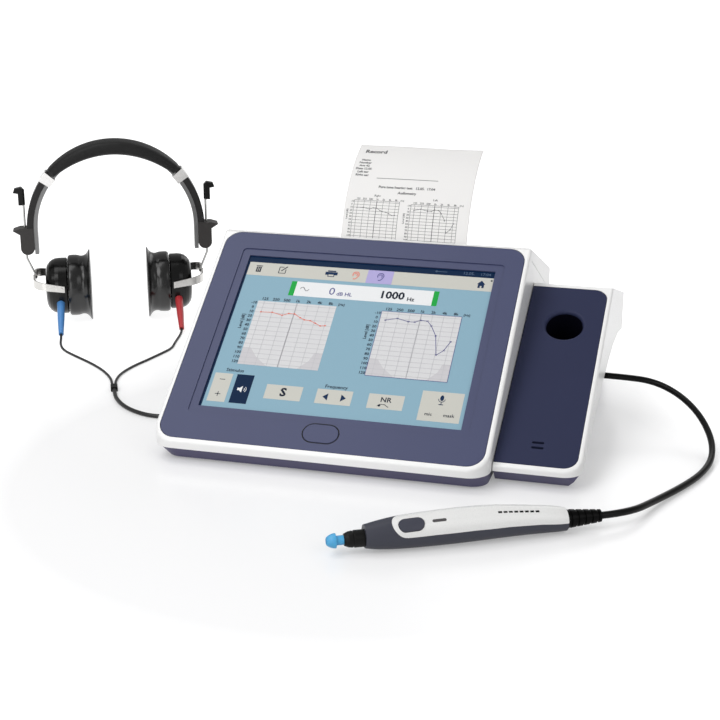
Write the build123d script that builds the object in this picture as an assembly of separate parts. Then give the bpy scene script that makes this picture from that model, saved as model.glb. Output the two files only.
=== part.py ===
from build123d import *
import os
from math import atan2, cos, degrees, pi, radians, sin, sqrt, tan

# A desk tympanometer: a sloped touch-screen unit with a strip printer, a probe cradle at its
# right, a hand probe on its cable and an audiometric headset on its lead.
# X runs to the right, Y to the back and Z up. The origin is on the flat underside of the base
# tray, and the rubber feet reach below it to the desk. Lengths are in millimetres.

# Display and front panel
display_width = 211.2
display_height = 158.4
panel_tilt = 34.7
bezel_width = 258.5
bezel_length = 215.7
bezel_radius = 14.0
bezel_thickness = 3.0
bezel_front_y = -147.7
bezel_front_z = 18.2
display_shift_x = 1.8
display_shift_q = 3.8
frame_margin = 7.0
frame_step = 0.9
rim_width = 4.0

# Housing walls
wall = 2.6
ledge_width = 5.0
seat_gap = 0.3
overrun = 20.0
edge_round = 2.4

# Main housing
tray_height = 10.0
tray_inset = 8.5
tray_wall = 2.8
tray_side_inset = 2.0
body_radius = 17.0
rear_y = 160.0
seam_drop = 12.5
seam_rear_z = 69.6
deck_front_drop = 1.6
deck_rear_z = 93.0

# Feet and case screws
foot_height = 2.0
foot_radius = 8.0
foot_inset = 26.0
foot_seat_depth = 1.0
screw_radius = 1.5
screw_head_radius = 3.0
screw_head_height = 2.4
screw_length = 24.0
screw_clearance = 0.15
boss_radius = 5.5
boss_height = 22.0
boss_inset = 44.0

# Display stack
glass_thickness = 1.6
glass_margin = 6.0
lcd_thickness = 6.0
lcd_margin = 5.0
frame_plate = 1.2
frame_tab_width = 16.0
frame_tab_length = 14.0

# Home button
button_length = 28.0
button_width = 16.5
button_q = -91.7
button_x = 1.0
button_gap = 0.35
button_proud = 0.4
button_flange = 1.5
button_flange_height = 1.4
button_depth = 5.2
button_travel = 1.0
switch_size = 9.0
switch_height = 3.0

# Boards and air pump
board_width = 150.0
board_depth = 120.0
board_thickness = 1.6
board_x = -20.0
board_y = 40.0
board_lift = 12.0
post_radius = 3.5
chip_size = 26.0
chip_height = 3.0
shield_size = 39.0
shield_height = 9.0
pump_radius = 17.0
pump_length = 46.0
pump_head = 24.0
pump_x = 87.0
pump_y = 40.0
pump_saddle = 6.0
nozzle_stub_radius = 3.0
nozzle_stub_length = 9.0

# Rear panel
jack_pitch = 26.0
jack_count = 3
jack_x = -40.0
jack_z = 18.5
jack_bore = 3.3
jack_ring_radius = 7.0
jack_ring_proud = 1.2
jack_depth = 34.0
inlet_x = 52.0
inlet_radius = 4.3
inlet_pin_radius = 1.0
inlet_depth = 12.0
rocker_x = 92.0
rocker_z = 28.0
rocker_width = 13.0
rocker_height = 19.0
rocker_depth = 11.0
rocker_tilt = 8.0
rocker_gap = 0.4
rocker_bevel = 1.2
rocker_frame = 3.0
rocker_pin_radius = 1.5
rocker_pin_clearance = 0.06

# Printer
paper_width = 110.0
paper_x = 20.4
paper_thickness = 0.35
paper_exit_y = 47.4
paper_exit_z = 134.0
paper_slot_front = 2.2
paper_start_angle = 16.0
paper_end_angle = 72.0
paper_arc_radius = 105.5
paper_tail = 16.0
bay_side_gap = 4.0
lid_front_gap = 6.0
lid_length = 74.0
lid_thickness = 2.6
lid_gap = 0.5
lid_lip = 1.2
lid_swing_gap = 2.6
hinge_radius = 3.2
hinge_pin_radius = 1.5
hinge_clearance = 0.05
hinge_knuckle = 12.0
roll_radius = 21.0
roll_core_radius = 6.5
roll_y = 86.0
roll_z = 94.0
spindle_radius = 3.0
spindle_clearance = 0.08
cheek_thickness = 2.4
cheek_gap = 1.5
chassis_floor = 2.4
chassis_drop = 26.0
platen_radius = 5.0
platen_y = 49.5
platen_z = 113.0
head_width = 8.0
head_height = 14.0
head_gap = 0.8
tab_reach = 9.0
tab_thickness = 2.0

# Probe cradle
cradle_tilt = 27.8
cradle_front_y = -127.8
cradle_front_z = 16.2
cradle_length = 194.6
cradle_left = 134.0
cradle_right = 195.9
cradle_rim = 3.9
cradle_radius = 15.0
cradle_cover = 3.0
cradle_rear_y = 163.0
cradle_deck_rear_z = 74.0
recess_x = 186.0
recess_start = 24.0
arch_foot_z = 12.5
arch_front_z = 31.0
arch_front_share = 0.3
arch_top_z = 53.0
arch_top_share = 0.72
arch_rear_z = 40.0
arch_steps = 8
well_width = 28.0
well_front_q = 135.3
well_rear_q = 166.5
well_side_q = 155.0
well_x = 165.8
well_corner = 4.0
well_depth = 58.0
well_wall = 1.8
well_lip = 2.6
slot_x = 164.3
slot_q = 17.6
slot_pitch = 5.1
slot_length = 9.4
slot_width = 2.2
gland_y = 48.9
gland_z = 32.0
gland_radius = 5.0
gland_length = 9.0
gland_flange = 1.8
gland_stem_radius = 3.5

# Probe cable
cable_diameter = 5.2
cable_exit_x = 213.0
cable_route = (
    (236.0, 52.5, 29.5),
    (257.5, 41.5, 24.5),
    (276.0, 18.5, 17.5),
    (288.5, -11.0, 8.5),
    (291.5, -41.0, 2.2),
    (285.5, -71.0, 0.65),
    (273.0, -101.0, 0.65),
    (255.5, -136.0, 1.9),
)

# Hand probe
probe_nose_x = 71.2
probe_nose_y = -266.3
probe_heading = 28.5
probe_roll = 33.0
probe_length = 144.0
probe_shell = 1.8
probe_station_shares = (0.0, 0.07, 0.17, 0.33, 0.52, 0.69, 0.86, 1.0)
probe_radii = (8.1, 9.9, 11.3, 12.1, 12.2, 11.3, 9.95, 8.2)
probe_heights = (11.1, 11.2, 11.7, 12.2, 12.6, 12.3, 11.0, 9.1)
nozzle_height = 10.0
cap_height_share = 0.56
cap_start = 18.0
cap_round = 9.4
cap_gap = 0.05
probe_key_x = 31.0
probe_key_length = 17.6
probe_key_width = 9.2
probe_key_shift = -2.0
probe_key_gap = 0.3
probe_key_proud = 0.6
probe_key_travel = 0.8
probe_key_height = 3.4
lamp_x = 50.5
lamp_shift = -1.8
lamp_length = 10.0
lamp_width = 2.2
lamp_depth = 2.4
mark_start = 94.0
mark_pitch = 3.9
mark_count = 8
mark_length = 2.9
mark_width = 1.7
mark_depth = 0.4
probe_board_length = 70.0
probe_board_width = 14.0
probe_board_x = 58.0
nozzle_radius = 2.0
nozzle_bore = 0.9
nozzle_root_radius = 4.6
nozzle_length = 22.0
nozzle_seat = 4.0
collar_radius = 6.0
collar_nose_radius = 4.8
collar_length = 14.0
collar_waist = 0.6
collar_waist_width = 1.6
collar_bore_gap = 0.08
collar_nose_share = 0.8
tip_cap_radius = 5.2
tip_stem_radius = 3.3
tip_length = 11.8
tip_cap_length = 5.8
tip_skirt = 0.5
tip_shares = (0.55, 0.84, 0.8)
tip_collar_gap = 0.4
tip_fit = 0.05
tip_travel = 15.0
boot_radius = 6.9
boot_end_radius = 4.5
boot_stub_radius = 3.4
boot_length = 26.0
boot_rib_count = 5
boot_rib_depth = 1.1
boot_rib_share = 0.62
cable_tail_share = 1.85

# Headset
headset_x = -318.1
headset_y = 209.6
headset_heading = 24.6
band_radius = 88.8
band_centre_z = 95.3
strap_thickness = 6.6
strap_width = 15.0
spring_thickness = 3.9
spring_width = 12.0
pad_half_angle = 47.6
pad_width = 32.0
pad_end_depth = 10.5
pad_top_depth = 17.0
pad_proud = 0.8
clamp_angle = 52.2
clamp_length = 10.5
clamp_width = 18.0
clamp_wall = 1.2
slider_height = 27.0
slider_bottom_z = 71.0
slider_width = 13.6
slider_depth = 16.0
slider_floor = 1.6
horn_length = 6.8
horn_height = 6.4
stem_offset = 90.9
stem_radius = 1.1
stem_clearance = 0.06
stem_top_z = 139.0
stem_bend_z = 66.0
stem_foot_x = 84.2
stem_foot_z = 50.0
stem_bend_radius = 5.0
stop_width = 6.5
stop_inset = 1.9
stop_depth = 7.0
stop_height = 18.0
stop_hook = 4.8
stop_shares = (0.35, 0.3, 0.7, 0.08, 0.15)
cup_axis_z = 36.0
flange_x = 28.5
flange_radius = 36.0
cushion_radius = 31.0
cushion_length = 22.4
cushion_flare = 10.5
cushion_waist_share = 0.45
cushion_lip = 1.0
cushion_bore = 14.0
cushion_dish = 4.5
cup_gap = 0.6
cup_radius = 28.4
cup_length = 22.0
cup_round = 13.0
cup_wall = 2.4
cup_port_radius = 3.0
pivot_x = 57.5
pivot_z = 39.5
pivot_radius = 1.6
pivot_clearance = 0.06
pivot_reach = 5.5
pivot_boss_radius = 4.0
yoke_gap = 1.4
yoke_thickness = 1.6
yoke_base_x = 85.1
yoke_base_z = 45.0
yoke_base_height = 8.6
yoke_end_height = 6.2
yoke_corner = 13.0
plug_x = 59.2
plug_tilt = 64.0
plug_root = 25.5
plug_end = 73.5
plug_root_radius = 4.0
plug_end_radius = 2.5
plug_seat_gap = 0.15
plug_grip_share = 0.55
plug_taper_share = 0.85

# Headset lead
lead_diameter = 2.4
trunk_diameter = 3.6
split_x = -229.4
split_y = -5.2
split_heading = -64.0
split_length = 10.0
split_width = 6.2
split_height = 4.4
split_pitch = 2.8
left_route = (
    (-334.0, 101.5),
    (-323.0, 85.5),
    (-302.0, 70.5),
    (-280.5, 56.0),
    (-260.5, 39.5),
    (-244.5, 21.0),
)
right_route = (
    (-229.0, 137.0),
    (-224.6, 119.0),
    (-228.4, 100.0),
    (-233.2, 79.0),
    (-239.0, 57.0),
    (-241.0, 34.0),
    (-237.6, 17.0),
)
trunk_route = (
    (-216.0, -30.5),
    (-203.5, -45.0),
    (-188.5, -56.0),
    (-172.0, -62.5),
    (-157.5, -61.5),
    (-147.5, -52.0),
    (-144.0, -37.0),
    (-145.5, -10.0),
    (-148.0, 32.0),
    (-146.0, 76.0),
    (-149.0, 119.0),
    (-142.5, 157.0),
    (-125.0, 189.0),
    (-105.5, 216.0),
)
trunk_last_y = 246.0
tail_first_y = 261.0
tail_last_y = 215.5
tail_route = ((-33.2, 246.0, 7.6), (-37.0, 231.0, 13.4))
coil_half_turns = 9
coil_x = -62.0
coil_y = 277.0
coil_outer = 30.5
coil_pitch = 4.1
coil_layer_step = 4.1
coil_reversal = 0.5
tie_width = 9.0
tie_thickness = 0.7
tie_gap = 0.3
plug_body_radius = 6.2
plug_body_length = 30.0
plug_boot_length = 12.0
plug_boot_radius = 5.0
plug_exit_radius = 2.7
plug_pin_radius = 3.17
plug_pin_length = 29.0

desk_z = -foot_height
lift = 0.05


def box_between(low, high):
    """A box from its lowest corner to its highest."""
    size = [high[i] - low[i] for i in range(3)]
    centre = [(high[i] + low[i]) / 2 for i in range(3)]
    return Pos(*centre) * Box(*size)


def yz_prism(points, x_low, x_high):
    """A prism along X whose outline is given as (y, z) points."""
    face = Plane.YZ * make_face(Polyline(*points, close=True))
    return Pos(x_low, 0, 0) * extrude(face, amount=x_high - x_low, dir=(1, 0, 0))


def rod(start, end, radius):
    """A round bar from one point to another."""
    a, b = Vector(*start), Vector(*end)
    plane = Plane(origin=a, z_dir=b - a)
    return extrude(plane * Circle(radius), amount=(b - a).length)


def cone_between(start, end, start_radius, end_radius):
    """A tapered round bar from one point to another."""
    a, b = Vector(*start), Vector(*end)
    length = (b - a).length
    place = Plane(origin=a, z_dir=b - a).location
    return place * Pos(0, 0, length / 2) * Cone(start_radius, end_radius, length)


def on_panel(x, q, depth=0):
    """A point of the front panel: q runs up the slope from the bezel's centre, depth goes in."""
    slope = radians(panel_tilt)
    middle = bezel_length / 2
    y = bezel_front_y + (middle + q) * cos(slope) + depth * sin(slope)
    z = bezel_front_z + (middle + q) * sin(slope) - depth * cos(slope)
    return (x, y, z)


def panel_plane(x, q, depth=0):
    """A plane on the front panel whose normal points out of it."""
    slope = radians(panel_tilt)
    return Plane(origin=on_panel(x, q, depth), x_dir=(1, 0, 0), z_dir=(0, -sin(slope), cos(slope)))


def on_cradle(x, q, depth=0):
    """A point of the cradle's top: q runs up its slope from the cover's front edge."""
    slope = radians(cradle_tilt)
    y = cradle_front_y + q * cos(slope) + depth * sin(slope)
    z = cradle_front_z + q * sin(slope) - depth * cos(slope)
    return (x, y, z)


def cradle_plane(x, q, depth=0):
    """A plane on the cradle's top whose normal points out of it."""
    slope = radians(cradle_tilt)
    return Plane(origin=on_cradle(x, q, depth), x_dir=(1, 0, 0), z_dir=(0, -sin(slope), cos(slope)))


def slab(plane, outline, thickness):
    """An outline on a plane, thickened into the body."""
    return extrude(plane * outline, amount=-thickness)


def slot_outline(length, width):
    """A slot with round ends."""
    return SlotOverall(length, width)


# Outer sizes that follow from the values above
half_width = bezel_width / 2 + rim_width
ridge = on_panel(0, bezel_length / 2 + rim_width)
front_top = on_panel(0, -bezel_length / 2 - rim_width)
front_y = front_top[1]
seam_front = (ridge[1], ridge[2] - seam_drop)
deck_front = (ridge[1] + seat_gap, ridge[2] - deck_front_drop)
body_depth = rear_y - front_y
body_y = (rear_y + front_y) / 2
deck_slope = atan2(deck_front[1] - deck_rear_z, rear_y - deck_front[0])
display_x = display_shift_x
display_q = display_shift_q
glass_depth = frame_step + wall / 2
lcd_depth = glass_depth + glass_thickness
frame_depth = lcd_depth + lcd_thickness
ledge_depth = bezel_thickness + wall
cradle_outer = cradle_right + cradle_rim
cradle_ridge = on_cradle(0, cradle_length + cradle_rim)
cradle_front = on_cradle(0, -cradle_rim)


def deck_z(y):
    """The height of the rear deck's top surface at y."""
    return deck_front[1] - (y - deck_front[0]) * tan(deck_slope)


def seam_z(y):
    """The height of the sloped joint between the two white shells at y."""
    share = (y - seam_front[0]) / (rear_y - seam_front[0])
    return seam_front[1] + share * (seam_rear_z - seam_front[1])


def plan_prism(low_z, high_z, inset=0):
    """The unit's rounded plan outline, as an upright prism, drawn in by an inset."""
    outline = RectangleRounded(2 * (half_width - inset), body_depth - 2 * inset, body_radius - inset)
    return Pos(0, body_y, low_z) * extrude(outline, amount=high_z - low_z)


def foot_places():
    """The centres of the unit's four feet."""
    x = half_width - foot_inset
    return [(sx * x, body_y + sy * (body_depth / 2 - foot_inset)) for sx in (-1, 1) for sy in (-1, 1)]


def boss_places():
    """The centres of the six case screws."""
    x = half_width - wall - tray_inset - boss_radius
    reach = body_depth / 2 - boss_inset
    return [(sx * x, body_y + share * reach) for sx in (-1, 1) for share in (-1, 0, 1)]


def cradle_foot_places():
    """The centres of the cradle's two feet."""
    x = (cradle_left + recess_x) / 2
    return [(x, cradle_front_y + foot_inset), (x, cradle_rear_y - foot_inset)]


def post_places():
    """The centres of the four posts under the main board."""
    x, y = board_width / 2 - post_radius, board_depth / 2 - post_radius
    return [(board_x + sx * x, board_y + sy * y) for sx in (-1, 1) for sy in (-1, 1)]


def base_tray():
    shift = (tray_inset - tray_side_inset) / 2
    low = RectangleRounded(
        2 * half_width - tray_inset - tray_side_inset,
        body_depth - 2 * tray_inset,
        body_radius - tray_inset / 2,
    )
    high = RectangleRounded(2 * (half_width - wall / 2), body_depth - wall, body_radius - wall / 2)
    sections = [Pos(shift, body_y, 0) * low, Pos(0, body_y, tray_height) * high]
    tray = loft(sections, ruled=True)
    inside = RectangleRounded(
        2 * (half_width - tray_inset - tray_wall),
        body_depth - 2 * (tray_inset + tray_wall),
        body_radius - tray_inset,
    )
    tray -= Pos(0, body_y, tray_wall) * extrude(inside, amount=tray_height)
    for x, y in boss_places():
        tray += rod((x, y, 0), (x, y, boss_height), boss_radius)
    for x, y in post_places():
        tray += rod((x, y, 0), (x, y, board_lift), post_radius)
    for x, y in boss_places():
        tray -= rod((x, y, -overrun), (x, y, boss_height + overrun), screw_radius + screw_clearance)
        head = screw_head_height + screw_clearance
        tray -= rod((x, y, -overrun), (x, y, head), screw_head_radius + screw_clearance)
    for x, y in foot_places():
        tray -= rod((x, y, -overrun), (x, y, foot_seat_depth), foot_radius)
    saddle_z = tray_wall + pump_saddle
    saddle = box_between(
        (pump_x - pump_radius / 2, pump_y - pump_length / 2, 0),
        (pump_x + pump_radius / 2, pump_y + pump_length / 2 - pump_head / 2, saddle_z + pump_radius / 4),
    )
    axis_z = saddle_z + pump_radius
    saddle -= rod((pump_x, pump_y - pump_length, axis_z), (pump_x, pump_y + pump_length, axis_z), pump_radius)
    return tray + saddle


def main_shell():
    points = [
        (front_y, tray_height),
        (front_y, front_top[2]),
        (ridge[1], ridge[2]),
        seam_front,
        (rear_y, seam_rear_z),
        (rear_y, tray_height),
    ]
    body = plan_prism(tray_height, ridge[2]) & yz_prism(points, -half_width, half_width)
    top_edges = body.edges().filter_by(lambda e: e.center().Z > tray_height + edge_round)
    front_half = ridge[1] - edge_round
    rim = [e for e in top_edges if on_rim(e) and e.center().Y < front_half + rim_width]
    body = fillet(rim, edge_round)
    depth = ledge_depth
    inner = [
        (front_y + wall, tray_height - overrun),
        (front_y + wall, on_panel(0, 0, depth)[2] + slope_rise(front_y + wall, depth)),
        (ridge[1] - wall, on_panel(0, 0, depth)[2] + slope_rise(ridge[1] - wall, depth)),
        (ridge[1] - wall, seam_front[1]),
        (ridge[1], seam_front[1] - wall),
        (ridge[1] + overrun, ridge[2]),
        (rear_y - wall, ridge[2]),
        (rear_y - wall, tray_height - overrun),
    ]
    cavity = plan_prism(tray_height - overrun, ridge[2] + overrun, wall)
    cavity &= yz_prism(inner, -half_width, half_width)
    body -= cavity
    pocket = RectangleRounded(bezel_width + 2 * button_gap, bezel_length + 2 * button_gap, bezel_radius)
    body -= slab(panel_plane(0, 0, -overrun), pocket, overrun + bezel_thickness)
    window = RectangleRounded(
        bezel_width - 2 * ledge_width, bezel_length - 2 * ledge_width, bezel_radius - ledge_width
    )
    body -= slab(panel_plane(0, 0, 0), window, ledge_depth + overrun)
    for x in jack_places():
        body -= rod((x, rear_y - overrun, jack_z), (x, rear_y + overrun, jack_z), jack_ring_radius)
    body -= rod((inlet_x, rear_y - overrun, jack_z), (inlet_x, rear_y + overrun, jack_z), inlet_radius + wall)
    body -= rocker_opening()
    half_x = rocker_width / 2 + rocker_gap
    y, inner_y = rocker_pin_y(), rear_y - wall
    for side in (-1, 1):
        x_in, x_out = rocker_x + side * half_x, rocker_x + side * (half_x + rocker_frame)
        low = (min(x_in, x_out), inner_y - rocker_depth, rocker_z - rocker_frame)
        high = (max(x_in, x_out), inner_y, rocker_z + rocker_frame)
        body += box_between(low, high)
    bore = rocker_pin_radius + rocker_pin_clearance
    reach = half_x + rocker_frame + overrun
    body -= rod((rocker_x - reach, y, rocker_z), (rocker_x + reach, y, rocker_z), bore)
    return body


def on_rim(edge):
    """True for an edge that lies on the front panel's outer rim."""
    slope = radians(panel_tilt)
    middle = edge @ 0.5
    height = (middle.Z - bezel_front_z) * cos(slope) - (middle.Y - bezel_front_y) * sin(slope)
    return abs(height) < rim_width / 100


def slope_rise(y, depth):
    """How much higher the panel's slope is at y than at its centre, at one depth."""
    return (y - on_panel(0, 0, depth)[1]) * tan(radians(panel_tilt))


def jack_places():
    """The X of each audio socket."""
    return [jack_x + i * jack_pitch for i in range(jack_count)]


def rocker_pin_y():
    """The Y of the rocker's pin, inside the rear wall."""
    return rear_y - wall - rocker_depth / 3


def rocker_opening():
    half_x, half_z = rocker_width / 2 + rocker_gap, rocker_height / 2 + rocker_gap
    low = (rocker_x - half_x, rear_y - overrun, rocker_z - half_z)
    high = (rocker_x + half_x, rear_y + overrun, rocker_z + half_z)
    return box_between(low, high)


def rear_cover():
    gap = seat_gap
    points = [
        (seam_front[0] + gap, seam_front[1] + gap),
        (deck_front[0], deck_front[1]),
        (rear_y, deck_rear_z),
        (rear_y, seam_rear_z + gap),
    ]
    body = plan_prism(seam_rear_z - overrun, ridge[2] + overrun)
    body &= yz_prism(points, -half_width, half_width)
    deck_edges = [e for e in body.edges() if on_deck(e) and (e @ 0.5).Y > deck_front[0] + gap]
    body = fillet(deck_edges, edge_round)
    inner = [
        (seam_front[0] + gap + wall, seam_front[1] - overrun),
        (deck_front[0] + wall, deck_z(deck_front[0] + wall) - wall),
        (rear_y - wall, deck_z(rear_y - wall) - wall),
        (rear_y - wall, seam_rear_z - overrun),
    ]
    cavity = plan_prism(seam_rear_z - overrun * 2, ridge[2] + overrun, wall)
    body -= cavity & yz_prism(inner, -half_width, half_width)
    bay_half = paper_width / 2 + bay_side_gap
    low_y = paper_exit_y - paper_slot_front
    high_y = lid_rear_y() + lid_swing_gap
    body -= box_between(
        (paper_x - bay_half, low_y, seam_z(high_y) - overrun),
        (paper_x + bay_half, high_y, ridge[2] + overrun),
    )
    y, z = hinge_place()
    ear = hinge_radius + lid_gap
    for side in (-1, 1):
        x = paper_x + side * bay_half
        ear_box = box_between((x - wall / 2, y - ear, z - ear), (x + wall / 2, y + ear, z + ear / 2))
        outer = Pos(side * wall / 2, 0, 0) * ear_box
        body += outer
        body -= rod((x - overrun, y, z), (x + overrun, y, z), hinge_pin_radius + hinge_clearance)
    return body


def on_deck(edge):
    """True for an edge of the rear deck's top surface."""
    middle = edge @ 0.5
    return abs(middle.Z - deck_z(middle.Y)) < wall / 100


def lid_front_y():
    return paper_exit_y + lid_front_gap


def lid_rear_y():
    return lid_front_y() + lid_length * cos(deck_slope)


def hinge_place():
    """The (y, z) of the lid's hinge pin, just under the deck at the lid's rear edge."""
    y = lid_rear_y() - hinge_radius - lid_gap
    return y, deck_z(y) - hinge_radius - lid_lip


def printer_lid():
    half = paper_width / 2 + bay_side_gap - lid_gap
    front, back = lid_front_y(), lid_rear_y() - lid_gap
    points = [
        (front, deck_z(front)),
        (back, deck_z(back)),
        (back, deck_z(back) - lid_thickness),
        (front, deck_z(front) - lid_thickness),
    ]
    lid = yz_prism(points, paper_x - half, paper_x + half)
    front_edges = [e for e in lid.edges().filter_by(Axis.X) if (e @ 0.5).Y < front + lid_lip]
    lid = fillet(front_edges, lid_thickness / 3)
    y, z = hinge_place()
    for side in (-1, 1):
        x = paper_x + side * (half - hinge_knuckle / 2)
        knuckle = rod((x - hinge_knuckle / 2, y, z), (x + hinge_knuckle / 2, y, z), hinge_radius)
        web = box_between(
            (x - hinge_knuckle / 2, y - hinge_radius, z), (x + hinge_knuckle / 2, y, deck_z(y) - lid_lip)
        )
        lid += knuckle + web
    reach = half + overrun
    bore = hinge_pin_radius + hinge_clearance
    lid -= rod((paper_x - reach, y, z), (paper_x + reach, y, z), bore)
    tab = (front + lid_front_gap, deck_z(front + lid_front_gap))
    grip_z = tab[1] + lid_lip
    left_x, right_x = paper_x - hinge_knuckle, paper_x + hinge_knuckle
    grip = rod((left_x, tab[0], grip_z), (right_x, tab[0], grip_z), lid_thickness)
    lid -= grip
    return lid


def lid_pin():
    y, z = hinge_place()
    half = paper_width / 2 + bay_side_gap + wall
    return rod((paper_x - half, y, z), (paper_x + half, y, z), hinge_pin_radius)


def paper_strip():
    """The printed strip: it leaves the printer nearly upright and curls back along one arc."""
    start, end = radians(paper_start_angle), radians(paper_end_angle)
    radius, half = paper_arc_radius, paper_thickness / 2
    centre_y = paper_exit_y + radius * cos(start)
    centre_z = paper_exit_z - radius * sin(start)

    def at(angle, offset):
        r = radius + offset
        return (centre_y - r * cos(angle), centre_z + r * sin(angle))

    def tail(offset):
        y, z = at(start, offset)
        return (y - paper_tail * sin(start), z - paper_tail * cos(start))

    middle = (start + end) / 2
    outer = ThreePointArc(at(start, half), at(middle, half), at(end, half))
    inner = ThreePointArc(at(end, -half), at(middle, -half), at(start, -half))
    sides = [
        Line(at(end, half), at(end, -half)),
        Line(at(start, -half), tail(-half)),
        Line(tail(-half), tail(half)),
        Line(tail(half), at(start, half)),
    ]
    face = Plane.YZ * make_face([outer, inner, *sides])
    strip = extrude(face, amount=paper_width, dir=(1, 0, 0))
    return Pos(paper_x - paper_width / 2, 0, 0) * strip


def chassis_half():
    return paper_width / 2 + cheek_gap


def printer_frame():
    half = chassis_half()
    floor_z = roll_z - roll_radius - chassis_floor * 2
    front, back = platen_y - platen_radius * 2, roll_y + roll_radius + cheek_gap
    frame = box_between(
        (paper_x - half - cheek_thickness, front, floor_z - chassis_floor),
        (paper_x + half + cheek_thickness, back, floor_z),
    )
    for side in (-1, 1):
        x_in, x_out = paper_x + side * half, paper_x + side * (half + cheek_thickness)
        cheek_points = [
            (front, floor_z - chassis_floor),
            (front, platen_z + platen_radius),
            (platen_y + platen_radius, platen_z + platen_radius),
            (roll_y + roll_core_radius, roll_z + roll_core_radius),
            (back, roll_z),
            (back, floor_z - chassis_floor),
        ]
        frame += yz_prism(cheek_points, min(x_in, x_out), max(x_in, x_out))
    back_y = platen_y - platen_radius - head_gap
    head = box_between(
        (paper_x - half, back_y - head_width, platen_z - head_height),
        (paper_x + half, back_y, platen_z + head_gap),
    )
    frame += head
    low_y, high_y = platen_y + 2 * platen_radius, roll_y
    tab = [
        (low_y, deck_z(low_y) - wall),
        (high_y, deck_z(high_y) - wall),
        (high_y, deck_z(high_y) - wall - tab_thickness),
        (low_y, deck_z(low_y) - wall - tab_thickness),
    ]
    for side in (-1, 1):
        x_in = paper_x + side * half
        x_out = paper_x + side * (half + cheek_thickness + bay_side_gap + tab_reach)
        frame += yz_prism(tab, min(x_in, x_out), max(x_in, x_out))
        cheek_x = sorted((x_in, paper_x + side * (half + cheek_thickness)))
        low_z = platen_z - platen_radius
        web = [
            (low_y, deck_z(low_y) - wall),
            (high_y, deck_z(high_y) - wall),
            (high_y, roll_z),
            (low_y, low_z),
        ]
        frame += yz_prism(web, *cheek_x)
    reach = half + overrun
    for y, z, radius in ((roll_y, roll_z, spindle_radius), (platen_y, platen_z, spindle_radius / 2)):
        frame -= rod((paper_x - reach, y, z), (paper_x + reach, y, z), radius + spindle_clearance)
    return frame


def paper_roll():
    half = paper_width / 2
    pin = half + cheek_gap + cheek_thickness
    roll = rod((paper_x - half, roll_y, roll_z), (paper_x + half, roll_y, roll_z), roll_radius)
    roll -= rod(
        (paper_x - half, roll_y, roll_z),
        (paper_x - half + cheek_thickness, roll_y, roll_z),
        roll_core_radius,
    )
    roll -= rod(
        (paper_x + half - cheek_thickness, roll_y, roll_z), (paper_x + half, roll_y, roll_z), roll_core_radius
    )
    return roll + rod((paper_x - pin, roll_y, roll_z), (paper_x + pin, roll_y, roll_z), spindle_radius)


def platen_roller():
    half = paper_width / 2
    pin = half + cheek_gap + cheek_thickness
    roller = rod((paper_x - half, platen_y, platen_z), (paper_x + half, platen_y, platen_z), platen_radius)
    ends = (paper_x - pin, platen_y, platen_z), (paper_x + pin, platen_y, platen_z)
    return roller + rod(*ends, spindle_radius / 2)


def front_bezel():
    outline = RectangleRounded(bezel_width, bezel_length, bezel_radius)
    bezel = slab(panel_plane(0, 0), outline, bezel_thickness - seat_gap / 10)
    top = [e for e in bezel.edges() if on_rim(e)]
    bezel = fillet(top, frame_step / 2)
    step = RectangleRounded(
        display_width + 2 * frame_margin, display_height + 2 * frame_margin, frame_margin / 2
    )
    bezel -= slab(panel_plane(display_x, display_q, -overrun), step, overrun + frame_step)
    window = Rectangle(display_width, display_height)
    bezel -= slab(panel_plane(display_x, display_q), window, overrun)
    under = Rectangle(display_width + 2 * glass_margin, display_height + 2 * glass_margin)
    bezel -= slab(panel_plane(display_x, display_q, glass_depth - seat_gap / 10), under, overrun)
    hole = slot_outline(button_length + 2 * button_gap, button_width + 2 * button_gap)
    bezel -= slab(panel_plane(button_x, button_q, -overrun), hole, 2 * overrun)
    return bezel


def touch_glass():
    outline = Rectangle(
        display_width + 2 * (glass_margin - seat_gap), display_height + 2 * (glass_margin - seat_gap)
    )
    return slab(panel_plane(display_x, display_q, glass_depth), outline, glass_thickness)


def lcd_module():
    outline = Rectangle(display_width + 2 * lcd_margin, display_height + 2 * lcd_margin)
    return slab(panel_plane(display_x, display_q, lcd_depth), outline, lcd_thickness)


def display_frame():
    width, height = display_width + 2 * lcd_margin, display_height + 2 * lcd_margin
    plate = slab(panel_plane(display_x, display_q, frame_depth), Rectangle(width, height), frame_plate)
    opening = RectangleRounded(width / 2, height / 2, frame_tab_length)
    plate -= slab(panel_plane(display_x, display_q, frame_depth - frame_plate), opening, 3 * frame_plate)
    ledge_x = bezel_width / 2 - ledge_width / 2
    for side in (-1, 1):
        for share in (-1, 1):
            q = display_q + share * (height / 2 - frame_tab_width)
            inner_x = display_x + side * (width / 2 - frame_tab_length)
            centre_x = (inner_x + side * ledge_x) / 2
            tab = Rectangle(abs(side * ledge_x - inner_x), frame_tab_width)
            plate += slab(panel_plane(centre_x, q, frame_depth), tab, frame_plate)
            post = Rectangle(ledge_width / 2, frame_tab_width)
            post_top = ledge_depth + seat_gap / 10
            post_x = side * (ledge_x - ledge_width / 4)
            plate += slab(panel_plane(post_x, q, post_top), post, frame_depth + frame_plate - post_top)
    return plate


def main_board():
    z = board_lift
    board = box_between(
        (board_x - board_width / 2, board_y - board_depth / 2, z),
        (board_x + board_width / 2, board_y + board_depth / 2, z + board_thickness),
    )
    chips = [(-chip_size, -chip_size, chip_size, chip_height), (chip_size, 0, shield_size, shield_height)]
    for dx, dy, size, height in chips:
        low = (board_x + dx - size / 2, board_y + dy - size / 2, z + board_thickness)
        high = (board_x + dx + size / 2, board_y + dy + size / 2, z + board_thickness + height)
        board += box_between(low, high)
    return board


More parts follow.
